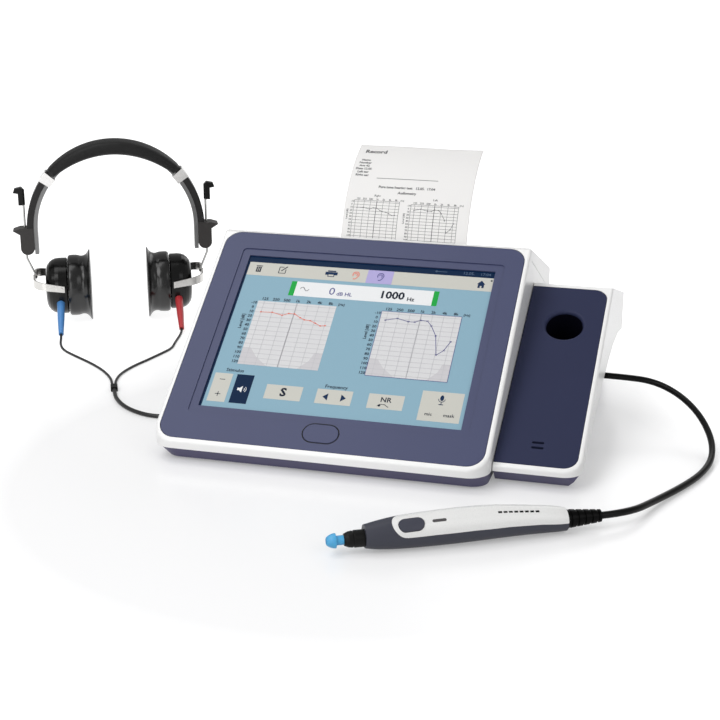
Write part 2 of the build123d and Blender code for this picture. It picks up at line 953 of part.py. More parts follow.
def home_button():
    outline = slot_outline(button_length, button_width)
    top = slab(panel_plane(button_x, button_q, -button_proud), outline, button_depth)
    edges = [e for e in top.edges() if top_of_button(e)]
    top = fillet(edges, button_proud)
    width = button_width + 2 * button_flange
    length = button_length + 2 * button_flange
    flange_depth = bezel_thickness + button_travel / 10
    outline = slot_outline(length, width)
    flange = slab(panel_plane(button_x, button_q, flange_depth), outline, button_flange_height)
    return top + flange


def top_of_button(edge):
    """True for an edge of the home button's top face."""
    slope = radians(panel_tilt)
    middle = edge @ 0.5
    height = (middle.Z - bezel_front_z) * cos(slope) - (middle.Y - bezel_front_y) * sin(slope)
    return height > button_proud / 2


def button_switch():
    top = button_depth - button_proud + button_travel + seat_gap / 2
    switch = slab(panel_plane(button_x, button_q, top), Rectangle(switch_size, switch_size), switch_height)
    carrier_length = bezel_length / 2 + button_q
    carrier = Rectangle(switch_size * 3, carrier_length - ledge_width / 2)
    carrier_q = -bezel_length / 2 + ledge_width / 2 + (carrier_length - ledge_width / 2) / 2
    carrier_depth = top + switch_height
    switch += slab(panel_plane(button_x, carrier_q, carrier_depth), carrier, frame_plate)
    leg = Rectangle(switch_size * 3, ledge_width / 3)
    leg_q = -bezel_length / 2 + 2 * ledge_width / 3
    leg_top = ledge_depth + seat_gap / 10
    switch += slab(panel_plane(button_x, leg_q, leg_top), leg, carrier_depth + frame_plate - leg_top)
    return switch


def rubber_feet():
    feet = []
    for x, y in [*foot_places(), *cradle_foot_places()]:
        foot = rod((x, y, desk_z), (x, y, foot_seat_depth), foot_radius - screw_clearance)
        feet.append(foot)
    return Compound(feet)


def case_screws():
    screws = []
    for x, y in boss_places():
        screw = rod((x, y, 0), (x, y, screw_head_height), screw_head_radius)
        screw += rod((x, y, 0), (x, y, screw_length), screw_radius)
        screws.append(screw)
    return Compound(screws)


def air_pump():
    z = tray_wall + pump_saddle + pump_radius
    front, back = pump_y - pump_length / 2, pump_y + pump_length / 2
    pump = rod((pump_x, front, z), (pump_x, back, z), pump_radius - seat_gap / 10)
    head_half = pump_radius + nozzle_stub_radius
    pump += box_between(
        (pump_x - head_half, back, z - pump_radius), (pump_x + head_half, back + pump_head, z + pump_radius)
    )
    for side in (-1, 1):
        x = pump_x + side * pump_radius / 2
        top = z + pump_radius + nozzle_stub_length
        pump += rod((x, back + pump_head / 2, z), (x, back + pump_head / 2, top), nozzle_stub_radius)
    return pump


def rear_sockets():
    sockets = []
    for x in jack_places():
        ring = rod((x, rear_y, jack_z), (x, rear_y + jack_ring_proud, jack_z), jack_ring_radius + wall / 2)
        barrel = rod((x, rear_y - jack_depth, jack_z), (x, rear_y, jack_z), jack_ring_radius - seat_gap / 2)
        socket = ring + barrel
        socket -= rod((x, rear_y - jack_depth + wall, jack_z), (x, rear_y + overrun, jack_z), jack_bore)
        sockets.append(socket)
    x = inlet_x
    ring = rod((x, rear_y, jack_z), (x, rear_y + jack_ring_proud, jack_z), inlet_radius + 2 * wall)
    barrel = rod((x, rear_y - inlet_depth, jack_z), (x, rear_y, jack_z), inlet_radius + wall - seat_gap / 2)
    inlet = ring + barrel
    inlet -= rod((x, rear_y - inlet_depth + wall, jack_z), (x, rear_y + overrun, jack_z), inlet_radius)
    inlet += rod((x, rear_y - inlet_depth, jack_z), (x, rear_y - wall, jack_z), inlet_pin_radius)
    sockets.append(inlet)
    return Compound(sockets)


def power_switch():
    """The rocker, tilted to its off side, on a pin through its middle."""
    half_x, half_z = rocker_width / 2, rocker_height / 2
    points = [
        (rear_y - wall - rocker_depth, rocker_z - half_z / 2),
        (rear_y + wall / 2, rocker_z - half_z + rocker_bevel),
        (rear_y + rocker_gap, rocker_z),
        (rear_y + wall / 2, rocker_z + half_z - rocker_bevel),
        (rear_y - wall - rocker_depth, rocker_z + half_z / 2),
    ]
    rocker = yz_prism(points, rocker_x - half_x, rocker_x + half_x)
    reach = half_x + rocker_gap + rocker_frame
    y = rocker_pin_y()
    rocker += rod((rocker_x - reach, y, rocker_z), (rocker_x + reach, y, rocker_z), rocker_pin_radius)
    axis = Axis((rocker_x, y, rocker_z), (1, 0, 0))
    return rocker.rotate(axis, -rocker_tilt)


def arch_height(y):
    """The lower edge of the cradle's right wall: it rises from the front to an arch."""
    start = cradle_front[1] + recess_start
    share = (y - start) / (cradle_rear_y - start)
    if share < arch_top_share:
        rise = sin(pi / 2 * share / arch_top_share)
        return arch_foot_z + (arch_top_z - arch_foot_z) * rise
    fall = (share - arch_top_share) / (1 - arch_top_share)
    return arch_top_z - (arch_top_z - arch_rear_z) * fall * fall


def arch_points(offset):
    """Points of the arch, from the front to the rear, raised by an offset."""
    start = cradle_front[1] + recess_start
    run = cradle_rear_y + overrun - start
    places = [start + run * i / arch_steps for i in range(arch_steps + 1)]
    return [(y, arch_height(min(y, cradle_rear_y)) + offset) for y in places]


def cradle_prism(low_z, high_z, inset=0):
    """The cradle's plan outline: square against the unit, round at its right corners."""
    front, back = cradle_front[1] + inset, cradle_rear_y - inset
    left, right = cradle_left + inset, cradle_outer - inset
    block = box_between((left, front, low_z), (right, back, high_z))
    corners = [e for e in block.edges().filter_by(Axis.Z) if e.center().X > right - wall]
    return fillet(corners, cradle_radius - inset)


def cradle_profile(offset=0):
    """The cradle's side outline, as (y, z) points, drawn in by an offset."""
    drop = offset / cos(radians(cradle_tilt))
    return [
        (cradle_front[1] + offset, tray_height - overrun * (offset > 0)),
        (cradle_front[1] + offset, cradle_front[2] - drop + offset * tan(radians(cradle_tilt))),
        (cradle_ridge[1], cradle_ridge[2] - drop),
        (cradle_rear_y - offset, cradle_deck_rear_z - drop),
        (cradle_rear_y - offset, tray_height - overrun * (offset > 0)),
    ]


def on_cradle_top(edge):
    """True for an outer edge of the cradle's sloped top, short of its ridge."""
    middle = edge @ 0.5
    slope = radians(cradle_tilt)
    over = (middle.Z - cradle_front_z) * cos(slope) - (middle.Y - cradle_front_y) * sin(slope)
    short_of_ridge = middle.Y < cradle_ridge[1] - wall / 10
    return abs(over) < cradle_rim / 100 and short_of_ridge and middle.X > cradle_left + wall


def cradle_shell():
    body = cradle_prism(tray_height, cradle_ridge[2])
    body &= yz_prism(cradle_profile(), cradle_left, cradle_outer)
    rim = [e for e in body.edges() if on_cradle_top(e)]
    body = fillet(rim, edge_round)
    thick = cradle_cover + wall
    inner = cradle_prism(tray_height - overrun, cradle_ridge[2], wall)
    inner &= yz_prism(cradle_profile(thick), cradle_left, recess_x - wall)
    body -= inner
    under = [*arch_points(0), (cradle_rear_y + overrun, -overrun), (arch_points(0)[0][0], -overrun)]
    body -= yz_prism(under, recess_x, cradle_outer + overrun)
    upper = arch_points(wall)
    roof = [(y, z) for y, z in cradle_profile(thick)[1:4]]
    pocket = [*upper[1:-1], roof[2], roof[1]]
    side = yz_prism(pocket, recess_x - wall - seat_gap, cradle_outer - wall)
    body -= side & cradle_prism(0, cradle_ridge[2], wall)
    width = cradle_right - cradle_left + button_gap
    centre_x = (cradle_left + cradle_right + button_gap) / 2
    block = slab(
        cradle_plane(centre_x, cradle_length / 2, -overrun),
        Rectangle(width, cradle_length + 2 * button_gap),
        overrun + cradle_cover,
    )
    corners = [e for e in block.edges() if is_cradle_normal(e) and e.center().X > centre_x]
    body -= fillet(corners, cradle_radius - cradle_rim)
    window = Rectangle(width - 2 * ledge_width, cradle_length - 2 * ledge_width)
    body -= slab(cradle_plane(centre_x, cradle_length / 2), window, thick + wall)
    ends = (recess_x - overrun, gland_y, gland_z), (recess_x + overrun, gland_y, gland_z)
    body -= rod(*ends, gland_stem_radius)
    return body


def is_cradle_normal(edge):
    """True for an edge square to the cradle's top."""
    slope = radians(cradle_tilt)
    direction = (edge @ 1) - (edge @ 0)
    along = direction.dot(Vector(0, -sin(slope), cos(slope)))
    return abs(abs(along) - direction.length) < direction.length / 1000


def cradle_base():
    """The navy base: a tapered front band and a plinth under the cradle."""
    front = cradle_front[1] + wall / 2
    left, right = cradle_left + seat_gap, cradle_outer - wall / 2
    back = cradle_front[1] + recess_start - seat_gap
    top_block = box_between((left, front, 0), (right, back, tray_height))
    upright = top_block.edges().filter_by(Axis.Z)
    corner = [e for e in upright if e.center().X > right - wall and e.center().Y < front + wall]
    top_block = fillet(corner, cradle_radius)
    lean = yz_prism(
        [
            (front - overrun, -overrun),
            (front + tray_inset + overrun * tan(atan2(tray_inset, tray_height)), -overrun),
            (front, tray_height),
            (front - overrun, tray_height),
        ],
        left - overrun,
        right + overrun,
    )
    top_block -= lean
    side_lean = Plane.XZ * make_face(
        Polyline(
            (right + overrun, -overrun),
            (right - tray_inset - overrun * tan(atan2(tray_inset, tray_height)), -overrun),
            (right, tray_height),
            (right + overrun, tray_height),
            close=True,
        )
    )
    top_block -= Pos(0, back + overrun, 0) * extrude(side_lean, amount=2 * overrun + recess_start)
    plinth_right = recess_x - wall - seat_gap
    plinth = box_between((left, back, 0), (plinth_right, cradle_rear_y - wall - seat_gap, tray_height))
    base = top_block + plinth
    base -= box_between(
        (left + wall, front + tray_inset + wall, tray_wall),
        (plinth_right - wall, cradle_rear_y - 3 * wall, tray_height + overrun),
    )
    for x, y in cradle_foot_places():
        base -= rod((x, y, -overrun), (x, y, foot_seat_depth), foot_radius)
    return base


def well_face(margin=0):
    """The D-shaped outline of the probe well, on the cradle's top."""
    half = well_width / 2 + margin
    side = (half, 0)
    front = (0, well_front_q - well_side_q - margin)
    back = (0, well_rear_q - well_side_q + margin)
    lower = ThreePointArc((-half, 0), front, side)
    upper = ThreePointArc(side, back, (-half, 0))
    face = make_face([lower, upper])
    return fillet(face.vertices(), well_corner + margin)


def cradle_cover_plate():
    width = cradle_right - cradle_left
    centre_x = (cradle_left + cradle_right) / 2
    plate = slab(
        cradle_plane(centre_x, cradle_length / 2),
        Rectangle(width, cradle_length),
        cradle_cover - seat_gap / 10,
    )
    corners = [e for e in plate.edges() if is_cradle_normal(e) and e.center().X > centre_x]
    plate = fillet(corners, cradle_radius - cradle_rim)
    hole = slab(cradle_plane(well_x, well_side_q, -overrun), well_face(), 2 * overrun)
    plate -= hole
    mouth = [e for e in plate.edges() if near_well(e)]
    plate = fillet(mouth, well_lip)
    for i in range(2):
        q = slot_q + i * slot_pitch
        plate -= slab(cradle_plane(slot_x, q, -overrun), slot_outline(slot_length, slot_width), 2 * overrun)
    return plate


def near_well(edge):
    """True for an edge of the well's mouth on the cradle's top face."""
    middle = edge @ 0.5
    slope = radians(cradle_tilt)
    over = (middle.Z - cradle_front_z) * cos(slope) - (middle.Y - cradle_front_y) * sin(slope)
    q = (middle.Z - cradle_front_z) * sin(slope) + (middle.Y - cradle_front_y) * cos(slope)
    in_x = abs(middle.X - well_x) < well_width / 2 + wall
    return abs(over) < wall / 100 and in_x and well_front_q - wall < q < well_rear_q + wall


def probe_well():
    """The cup that the probe stands in, hung under the cover."""
    top = cradle_cover
    cup = slab(cradle_plane(well_x, well_side_q, top), well_face(well_wall), well_depth)
    flange = slab(cradle_plane(well_x, well_side_q, top), well_face(2 * well_wall), well_wall)
    hollow = slab(cradle_plane(well_x, well_side_q, top - wall), well_face(), well_depth - well_wall + wall)
    return cup + flange - hollow


def cable_gland():
    x = recess_x
    gland = cone_between(
        (x, gland_y, gland_z),
        (x + gland_length, gland_y, gland_z),
        gland_radius,
        cable_diameter / 2 + wall / 2,
    )
    ends = (x - gland_length, gland_y, gland_z), (x, gland_y, gland_z)
    gland += rod(*ends, gland_stem_radius - seat_gap / 3)
    flange = rod((x, gland_y, gland_z), (x + gland_flange, gland_y, gland_z), gland_radius + gland_flange)
    return gland + flange


def cord_tube(name, points, diameter):
    """A tube along straight runs joined by arcs as large as the runs allow."""
    path_points = [Vector(*p) for p in points]
    runs = [(b - a).length for a, b in zip(path_points, path_points[1:])]
    radii = []
    for i in range(1, len(path_points) - 1):
        before, after = path_points[i] - path_points[i - 1], path_points[i + 1] - path_points[i]
        turn = radians(before.get_angle(after))
        radii.append(0.45 * min(runs[i - 1], runs[i]) / tan(turn / 2))
    path = FilletPolyline(*path_points, radius=radii)
    plane = Plane(origin=path @ 0, z_dir=path % 0)
    tube = sweep(plane * Circle(diameter / 2), path=path)
    expected = pi * diameter * diameter / 4 * path.length
    share = round(tube.volume / expected, 4)
    print(name, "length", round(path.length, 1), "volume over section times length", share)
    in_diameters = [round(r / diameter, 1) for r in radii]
    print("  radii in diameters", in_diameters, "runs", [round(r, 1) for r in runs])
    return tube


def probe_frame():
    """The probe's own place: X from nose to tail, Z up from the desk."""
    return Location((probe_nose_x, probe_nose_y, desk_z), (0, 0, probe_heading))


def headset_frame():
    """The headset's own place: X to its right cup, Z up from the desk."""
    return Location((headset_x, headset_y, desk_z), (0, 0, headset_heading))


def placed(frame, point):
    """A point given in a frame of its own, in the part's frame."""
    return tuple((frame * Pos(*point)).position)


def probe_station(i, shrink=0):
    """The place, height and radius of one round section of the probe's body."""
    return probe_station_shares[i] * probe_length, probe_heights[i], probe_radii[i] - shrink


def probe_body(shrink=0, trim=0):
    """The probe's body as one smooth form through its round sections."""
    sections = []
    for i in range(len(probe_radii)):
        x, height, radius = probe_station(i, shrink)
        x = min(max(x, trim), probe_length - trim)
        plane = Plane(origin=(x, 0, height), z_dir=(1, 0, 0))
        sections.append(plane * Circle(radius))
    return loft(sections)


def roll_plane(x=0, reach=0):
    """A plane across the probe's facing direction, which is rolled towards the user."""
    roll = radians(probe_roll)
    facing = Vector(0, -sin(roll), cos(roll))
    return Plane(origin=Vector(x, 0, 0) + facing * reach, x_dir=(1, 0, 0), z_dir=facing)


def facing_height(x):
    """How far the body's surface reaches along its facing direction at x, and its axis there."""
    places = [probe_station(i) for i in range(len(probe_radii))]
    for (x0, z0, r0), (x1, z1, r1) in zip(places, places[1:]):
        if x <= x1:
            share = (x - x0) / (x1 - x0)
            axis = (z0 + (z1 - z0) * share) * cos(radians(probe_roll))
            return axis, r0 + (r1 - r0) * share
    return places[-1][1] * cos(radians(probe_roll)), places[-1][2]


def lateral(x, shift=0):
    """The sideways offset of the probe's axis across its facing direction, with a shift."""
    places = [probe_station(i) for i in range(len(probe_radii))]
    for (x0, z0, _), (x1, z1, _) in zip(places, places[1:]):
        if x <= x1:
            return (z0 + (z1 - z0) * (x - x0) / (x1 - x0)) * sin(radians(probe_roll)) + shift
    return places[-1][1] * sin(radians(probe_roll)) + shift


def cap_region(gap=0):
    """The space of the probe's white upper shell: above a split line, with a round front end."""
    roll = radians(probe_roll)
    side_plane = Plane(origin=(0, 0, 0), x_dir=(1, 0, 0), z_dir=(0, -cos(roll), -sin(roll)))
    line = []
    for i in range(len(probe_radii)):
        x = probe_station_shares[i] * probe_length
        axis, radius = facing_height(x)
        line.append((x, axis + cap_height_share * radius + gap))
    tall = 4 * max(probe_radii)
    outline = [(line[0][0] - overrun, line[0][1]), *line, (probe_length + overrun, line[-1][1])]
    outline += [(probe_length + overrun, tall), (-overrun, tall)]
    above = extrude(side_plane * make_face(Polyline(*outline, close=True)), amount=tall, both=True)
    middle = lateral(cap_start + cap_round)
    plane = roll_plane()
    start = cap_start + gap
    front = plane * Pos(start + cap_round, middle) * Circle(cap_round)
    long = probe_length + overrun - start - cap_round
    rest = plane * Pos(start + cap_round + long / 2, middle) * Rectangle(long, 2 * tall)
    upright = extrude(front, amount=tall) + extrude(rest, amount=tall)
    return above & upright


def key_outline(margin=0):
    return slot_outline(probe_key_length + 2 * margin, probe_key_width + 2 * margin)


def facing_column(x, outline, low, high, shift=0):
    """An outline stood on the probe's facing direction, between two reaches from its axis."""
    axis, radius = facing_height(x)
    plane = roll_plane(x, axis + low)
    return extrude(plane * Pos(0, lateral(x, shift)) * outline, amount=high - low)


def tail_hole():
    """The room for the boot's stub in the body's tail."""
    x, z, _ = probe_station(len(probe_radii) - 1)
    return rod((x - overrun, 0, z), (x + overrun, 0, z), boot_stub_radius + seat_gap / 3)


def probe_lower_shell():
    body = probe_body() - cap_region() - probe_body(probe_shell, probe_shell * 2)
    x0 = nozzle_height
    body -= rod((-overrun, 0, x0), (overrun, 0, x0), nozzle_root_radius + tip_fit)
    body -= tail_hole()
    return probe_frame() * largest(body)


def probe_upper_shell():
    body = (probe_body() & cap_region(cap_gap)) - probe_body(probe_shell, probe_shell * 2)
    _, radius = facing_height(probe_key_x)
    body -= facing_column(probe_key_x, key_outline(probe_key_gap), 0, 3 * radius, probe_key_shift)
    _, radius = facing_height(lamp_x)
    lamp = slot_outline(lamp_length, lamp_width)
    body -= facing_column(lamp_x, lamp, 0, 3 * radius, lamp_shift)
    body -= tail_hole()
    for i in range(mark_count):
        x = mark_start + i * mark_pitch
        _, radius = facing_height(x)
        mark = Rectangle(mark_length, mark_width)
        body -= facing_column(x, mark, radius - mark_depth, 3 * radius)
    return probe_frame() * largest(body)


def largest(shape):
    """The largest solid of a shape."""
    return max(shape.solids(), key=lambda s: s.volume)


def probe_button():
    _, radius = facing_height(probe_key_x)
    proud = radius + probe_key_proud
    column = facing_column(probe_key_x, key_outline(), 0, 3 * radius, probe_key_shift)
    crown = probe_body(-probe_key_proud)
    inner = facing_column(probe_key_x, key_outline(), 0, proud - probe_key_height, probe_key_shift)
    button = (column & crown) - inner
    flange = facing_column(
        probe_key_x,
        key_outline(probe_shell / 2),
        proud - probe_key_height - probe_shell,
        proud - probe_key_height,
        probe_key_shift,
    )
    flange &= probe_body(probe_shell + probe_key_gap, probe_shell * 2)
    return probe_frame() * largest(button + flange)


def probe_lamp():
    _, radius = facing_height(lamp_x)
    outline = slot_outline(lamp_length - probe_key_gap / 2, lamp_width - probe_key_gap / 2)
    column = facing_column(lamp_x, outline, radius - lamp_depth, 3 * radius, lamp_shift)
    return probe_frame() * largest(column & probe_body())


def probe_board():
    axis, radius = facing_height(probe_board_x)
    plane = roll_plane(probe_board_x + probe_board_length / 4, axis - board_thickness)
    middle = lateral(probe_board_x)
    outline = Rectangle(probe_board_length, probe_board_width)
    board = extrude(plane * Pos(0, middle) * outline, amount=board_thickness)
    inside = (radius - probe_shell) * 2 - seat_gap
    rib = Rectangle(post_radius, inside)
    for share in (-1, 1):
        reach = Pos(share * probe_board_length / 3, middle)
        board += extrude(plane * reach * rib, amount=board_thickness)
    return probe_frame() * (board & probe_body(probe_shell + seat_gap, probe_shell * 3))


def probe_nozzle():
    z = nozzle_height
    root = rod((0, 0, z), (nozzle_seat, 0, z), nozzle_root_radius)
    tube = rod((-nozzle_length, 0, z), (0, 0, z), nozzle_radius)
    nozzle = root + tube
    nozzle -= rod((-nozzle_length - overrun, 0, z), (nozzle_seat + overrun, 0, z), nozzle_bore)
    return probe_frame() * nozzle


def probe_collar():
    """The screwed black collar, with a waist between its two grips."""
    z = nozzle_height
    bore = nozzle_radius + collar_bore_gap
    gap = seat_gap / 3
    length = collar_length
    steps = [
        (-gap, bore),
        (-gap, collar_radius),
        (-length / 2, collar_radius),
        (-length / 2 - collar_waist_width / 2, collar_radius - collar_waist),
        (-length / 2 - collar_waist_width, collar_radius - collar_waist / 3),
        (-length * collar_nose_share, collar_nose_radius + collar_waist),
        (-length, collar_nose_radius - collar_waist),
        (-length, bore),
    ]
    face = Plane.XZ * make_face(Polyline(*steps, close=True))
    collar = revolve(face, Axis.X)
    return probe_frame() * Pos(0, 0, z) * collar


def ear_tip():
    """The soft mushroom tip, pushed on the nozzle."""
    z = nozzle_height
    back = -collar_length - tip_collar_gap
    front = back - tip_length
    cap_back = front + tip_cap_length
    bore = nozzle_radius + tip_fit
    along, out, mouth = tip_shares
    outline = [
        Line((back, bore), (back, tip_stem_radius)),
        Line((back, tip_stem_radius), (cap_back, tip_stem_radius)),
        Line((cap_back, tip_stem_radius), (cap_back + tip_skirt, tip_cap_radius)),
        ThreePointArc(
            (cap_back + tip_skirt, tip_cap_radius),
            (cap_back - tip_cap_length * along, tip_cap_radius * out),
            (front, tip_stem_radius * mouth),
        ),
        Line((front, tip_stem_radius * mouth), (front, bore)),
        Line((front, bore), (back, bore)),
    ]
    tip = revolve(Plane.XZ * make_face(outline), Axis.X)
    return probe_frame() * Pos(0, 0, z) * tip


def probe_boot():
    """The ribbed strain relief: a taper with rings cut into it."""
    tail = probe_station(len(probe_radii) - 1)
    z = tail[1]
    start, end = probe_length, probe_length + boot_length
    boot = cone_between((start, 0, z), (end, 0, z), boot_radius, boot_end_radius)
    pitch = boot_length / boot_rib_count
    for i in range(boot_rib_count):
        low = start + pitch * (i + boot_rib_share / 2)
        high = low + pitch * (1 - boot_rib_share)
        radius = boot_radius + (boot_end_radius - boot_radius) * (low - start) / boot_length
        ends = (low, 0, z), (high, 0, z)
        ring = rod(*ends, boot_radius * 2) - rod(*ends, radius - boot_rib_depth)
        boot -= ring
    stub = rod((start - 2 * probe_shell, 0, z), (start, 0, z), boot_stub_radius)
    return probe_frame() * (boot + stub)


def probe_cable():
    tail = probe_station(len(probe_radii) - 1)
    end = placed(probe_frame(), (probe_length + boot_length, 0, tail[1]))
    before = placed(probe_frame(), (probe_length + boot_length * cable_tail_share, 0, tail[1]))
    points = [
        (recess_x + gland_length, gland_y, gland_z),
        (cable_exit_x, gland_y, gland_z),
        *cable_route,
        before,
        end,
    ]
    return cord_tube("probe_cable", points, cable_diameter)


def band_ring(inner, outer, width, low_angle, high_angle):
    """A stretch of a band round the head, between two angles from the horizontal."""
    flat_ring = Cylinder(outer, width) - Cylinder(inner, width + overrun)
    ring = Pos(0, 0, band_centre_z) * Rot(90, 0, 0) * flat_ring
    reach = 2 * band_radius
    steps = 6
    fan = [(0, 0)]
    for i in range(steps + 1):
        angle = radians(low_angle + (high_angle - low_angle) * i / steps)
        fan.append((reach * cos(angle), reach * sin(angle)))
    wedge = Plane.XZ * make_face(Polyline(*fan, close=True))
    wedge = Pos(0, 0, band_centre_z) * extrude(wedge, amount=width, both=True)
    return ring & wedge


def band_leg(inner, outer, width, side, low_z):
    """The straight lower end of a band on one side."""
    x_in, x_out = side * inner, side * outer
    return box_between((min(x_in, x_out), -width / 2, low_z), (max(x_in, x_out), width / 2, band_centre_z))


def headband_strap():
    """The black outer strap: one arm at each side, from the clamp down into the slider."""
    inner = band_radius - strap_thickness
    arms = []
    for side in (-1, 1):
        top = 90 - pad_half_angle - seat_gap
        low, high = (0, top) if side > 0 else (180 - top, 180)
        arm = band_ring(inner, band_radius, strap_width, low, high)
        low_z = slider_bottom_z + slider_floor + slider_width / 4
        arm += band_leg(inner, band_radius, strap_width, side, low_z)
        arms.append(headset_frame() * arm)
    return Compound(arms)


def spring_radii():
    outer = band_radius - strap_thickness - seat_gap / 6
    return outer - spring_thickness, outer


def headband_spring():
    inner, outer = spring_radii()
    spring = band_ring(inner, outer, spring_width, 0, 90) + band_ring(inner, outer, spring_width, 90, 180)
    for side in (-1, 1):
        spring += band_leg(inner, outer, spring_width, side, slider_bottom_z)
    return headset_frame() * spring


def headband_pad():
    """The padded cushion over the crown: thick in the middle and drawn in at its ends."""
    outer = band_radius + pad_proud
    angle = radians(pad_half_angle)
    inner_end = band_radius - pad_end_depth

    def at(radius, theta):
        return (radius * sin(theta), band_centre_z + radius * cos(theta))

    top = ThreePointArc(at(outer, -angle), at(outer, 0), at(outer, angle))
    bottom = ThreePointArc(at(inner_end, angle), at(band_radius - pad_top_depth, 0), at(inner_end, -angle))
    ends = [Line(at(outer, angle), at(inner_end, angle)), Line(at(inner_end, -angle), at(outer, -angle))]
    pad = extrude(Plane.XZ * make_face([top, bottom, *ends]), amount=pad_width / 2, both=True)
    long_edges = [e for e in pad.edges() if e.length > pad_width * 2]
    pad = fillet(long_edges, pad_end_depth / 3)
    inner, outer = spring_radii()
    channel = band_ring(
        inner - seat_gap, outer + seat_gap, spring_width + 2 * seat_gap, 30, 90
    ) + band_ring(inner - seat_gap, outer + seat_gap, spring_width + 2 * seat_gap, 90, 150)
    return headset_frame() * (pad - channel)


def band_clamps():
    """The two bright clamps that close the padded part on the band."""
    inner, outer = spring_radii()
    clamps = []
    half = degrees(clamp_length / 2 / band_radius)
    for side in (-1, 1):
        middle = 90 - side * clamp_angle
        low, high = middle - half, middle + half
        clamp = band_ring(inner - clamp_wall, band_radius + clamp_wall, clamp_width, low, high)
        gap = seat_gap / 6
        strap_in, strap_out = band_radius - strap_thickness - gap, band_radius + gap
        start, end = low - half, high + half
        clamp -= band_ring(strap_in, strap_out, strap_width + 2 * gap, start, end)
        clamp -= band_ring(inner - gap, outer + 2 * gap, spring_width + 2 * gap, start, end)
        clamps.append(headset_frame() * clamp)
    return Compound(clamps)


def slider_block(side):
    """The block on each arm that the stem slides in, with its thumb horn."""
    _, spring_outer = spring_radii()
    low_x = spring_outer + seat_gap / 6
    high_x = low_x + slider_width
    top = slider_bottom_z + slider_height
    radius = slider_width / 2
    outline = [
        Line((side * low_x, slider_bottom_z + radius), (side * low_x, top)),
        Line((side * low_x, top), (side * high_x, top)),
        Line((side * high_x, top), (side * (high_x + horn_length), top - horn_height / 3)),
        Line((side * (high_x + horn_length), top - horn_height / 3), (side * high_x, top - horn_height)),
        Line((side * high_x, top - horn_height), (side * high_x, slider_bottom_z + radius)),
        ThreePointArc(
            (side * high_x, slider_bottom_z + radius),
            (side * (low_x + radius), slider_bottom_z),
            (side * low_x, slider_bottom_z + radius),
        ),
    ]
    block = extrude(Plane.XZ * make_face(outline), amount=slider_depth / 2, both=True)
    gap = seat_gap / 6
    floor_z = slider_bottom_z + slider_floor
    low_z = floor_z + radius / 2 - gap
    block -= band_leg(low_x - overrun, band_radius + gap, strap_width + 2 * gap, side, low_z)
    ring_low, ring_high = (0, 40) if side > 0 else (140, 180)
    block -= band_ring(low_x - overrun, band_radius + gap, strap_width + 2 * gap, ring_low, ring_high)
    x = side * stem_offset
    block -= rod((x, 0, 0), (x, 0, band_radius * 2), stem_radius + stem_clearance)
    return headset_frame() * largest(block)


def stem(side):
    """The bent wire that slides and turns in the block, with its finger stop on top."""
    x = side * stem_offset
    foot_x = side * stem_foot_x
    head_z = stem_top_z - stop_height / 3
    places = (x, 0, head_z), (x, 0, stem_bend_z), (foot_x, 0, stem_foot_z)
    path = FilletPolyline(*places, radius=stem_bend_radius)
    wire = sweep(Plane(origin=path @ 0, z_dir=path % 0) * Circle(stem_radius), path=path)
    top = stem_top_z
    low = top - stop_height
    inner_x = stem_offset - stop_inset
    outer_x = inner_x + stop_width
    root, beak, reach, brow, back = stop_shares
    points = [
        (inner_x, low),
        (outer_x, low),
        (outer_x, top - stop_height * root),
        (outer_x + stop_hook, top - stop_height * beak),
        (outer_x + stop_hook * reach, top - stop_height * brow),
        (stem_offset + stop_width / 4, top),
        (inner_x, top - stop_height * back),
    ]
    mirrored = [(side * px, pz) for px, pz in points]
    outline = make_face(Polyline(*mirrored, close=True))
    stop = extrude(Plane.XZ * outline, amount=stop_depth / 2, both=True)
    low_x, high_x = sorted((x, x - side * overrun))
    inner_half = box_between((low_x, -stop_depth, low - wall), (high_x, stop_depth, top + wall))
    round_back = rod((x, 0, low - wall), (x, 0, top + wall), stop_inset - seat_gap / 3)
    stop -= inner_half - round_back
    seat_z = top - stop_height / 3
    stop -= rod((x, 0, low - overrun), (x, 0, seat_z), stem_radius + stem_clearance / 3)
    return Compound([headset_frame() * wire, headset_frame() * stop])


def yoke(side):
    """The flat fork that holds the cup between its two pivots, riveted to the stem's foot."""
    reach = cup_radius + yoke_gap
    outer = reach + yoke_thickness
    length = yoke_base_x - pivot_x + yoke_end_height / 2
    middle = side * (yoke_base_x - length / 2)
    plan_outer = RectangleRounded(2 * length, 2 * outer, yoke_corner)
    plan_inner = RectangleRounded(2 * (length - yoke_thickness), 2 * reach, yoke_corner - yoke_thickness)
    centre = Pos(middle - side * length / 2, 0, 0)
    tall = flange_radius
    ring = extrude(centre * (plan_outer - plan_inner), amount=2 * tall)
    half_base, half_end = yoke_base_height / 2, yoke_end_height / 2
    end_x = pivot_x - yoke_end_height / 2
    points = [
        (side * (yoke_base_x + yoke_thickness), yoke_base_z + half_base),
        (side * end_x, pivot_z + half_end),
        (side * end_x, pivot_z - half_end),
        (side * (yoke_base_x + yoke_thickness), yoke_base_z - half_base),
    ]
    band = extrude(Plane.XZ * make_face(Polyline(*points, close=True)), amount=2 * tall, both=True)
    fork = ring & band
    for end in (-1, 1):
        low, high = sorted((end * (reach - pivot_reach), end * (outer + yoke_thickness / 2)))
        fork += rod((side * pivot_x, low, pivot_z), (side * pivot_x, high, pivot_z), pivot_radius)
    lug_top = stem_foot_z - 2 * stem_radius
    lug = rod((side * stem_foot_x, 0, yoke_base_z), (side * stem_foot_x, 0, lug_top), stem_radius * 2)
    return headset_frame() * (fork + lug)


def cup_profile(side, points):
    """A round piece about the cup's axis, from (x, radius) points."""
    mirrored = [(side * x, r) for x, r in points]
    face = Plane.XZ * make_face(Polyline(*mirrored, close=True))
    return Pos(0, 0, cup_axis_z) * revolve(face, Axis.X)


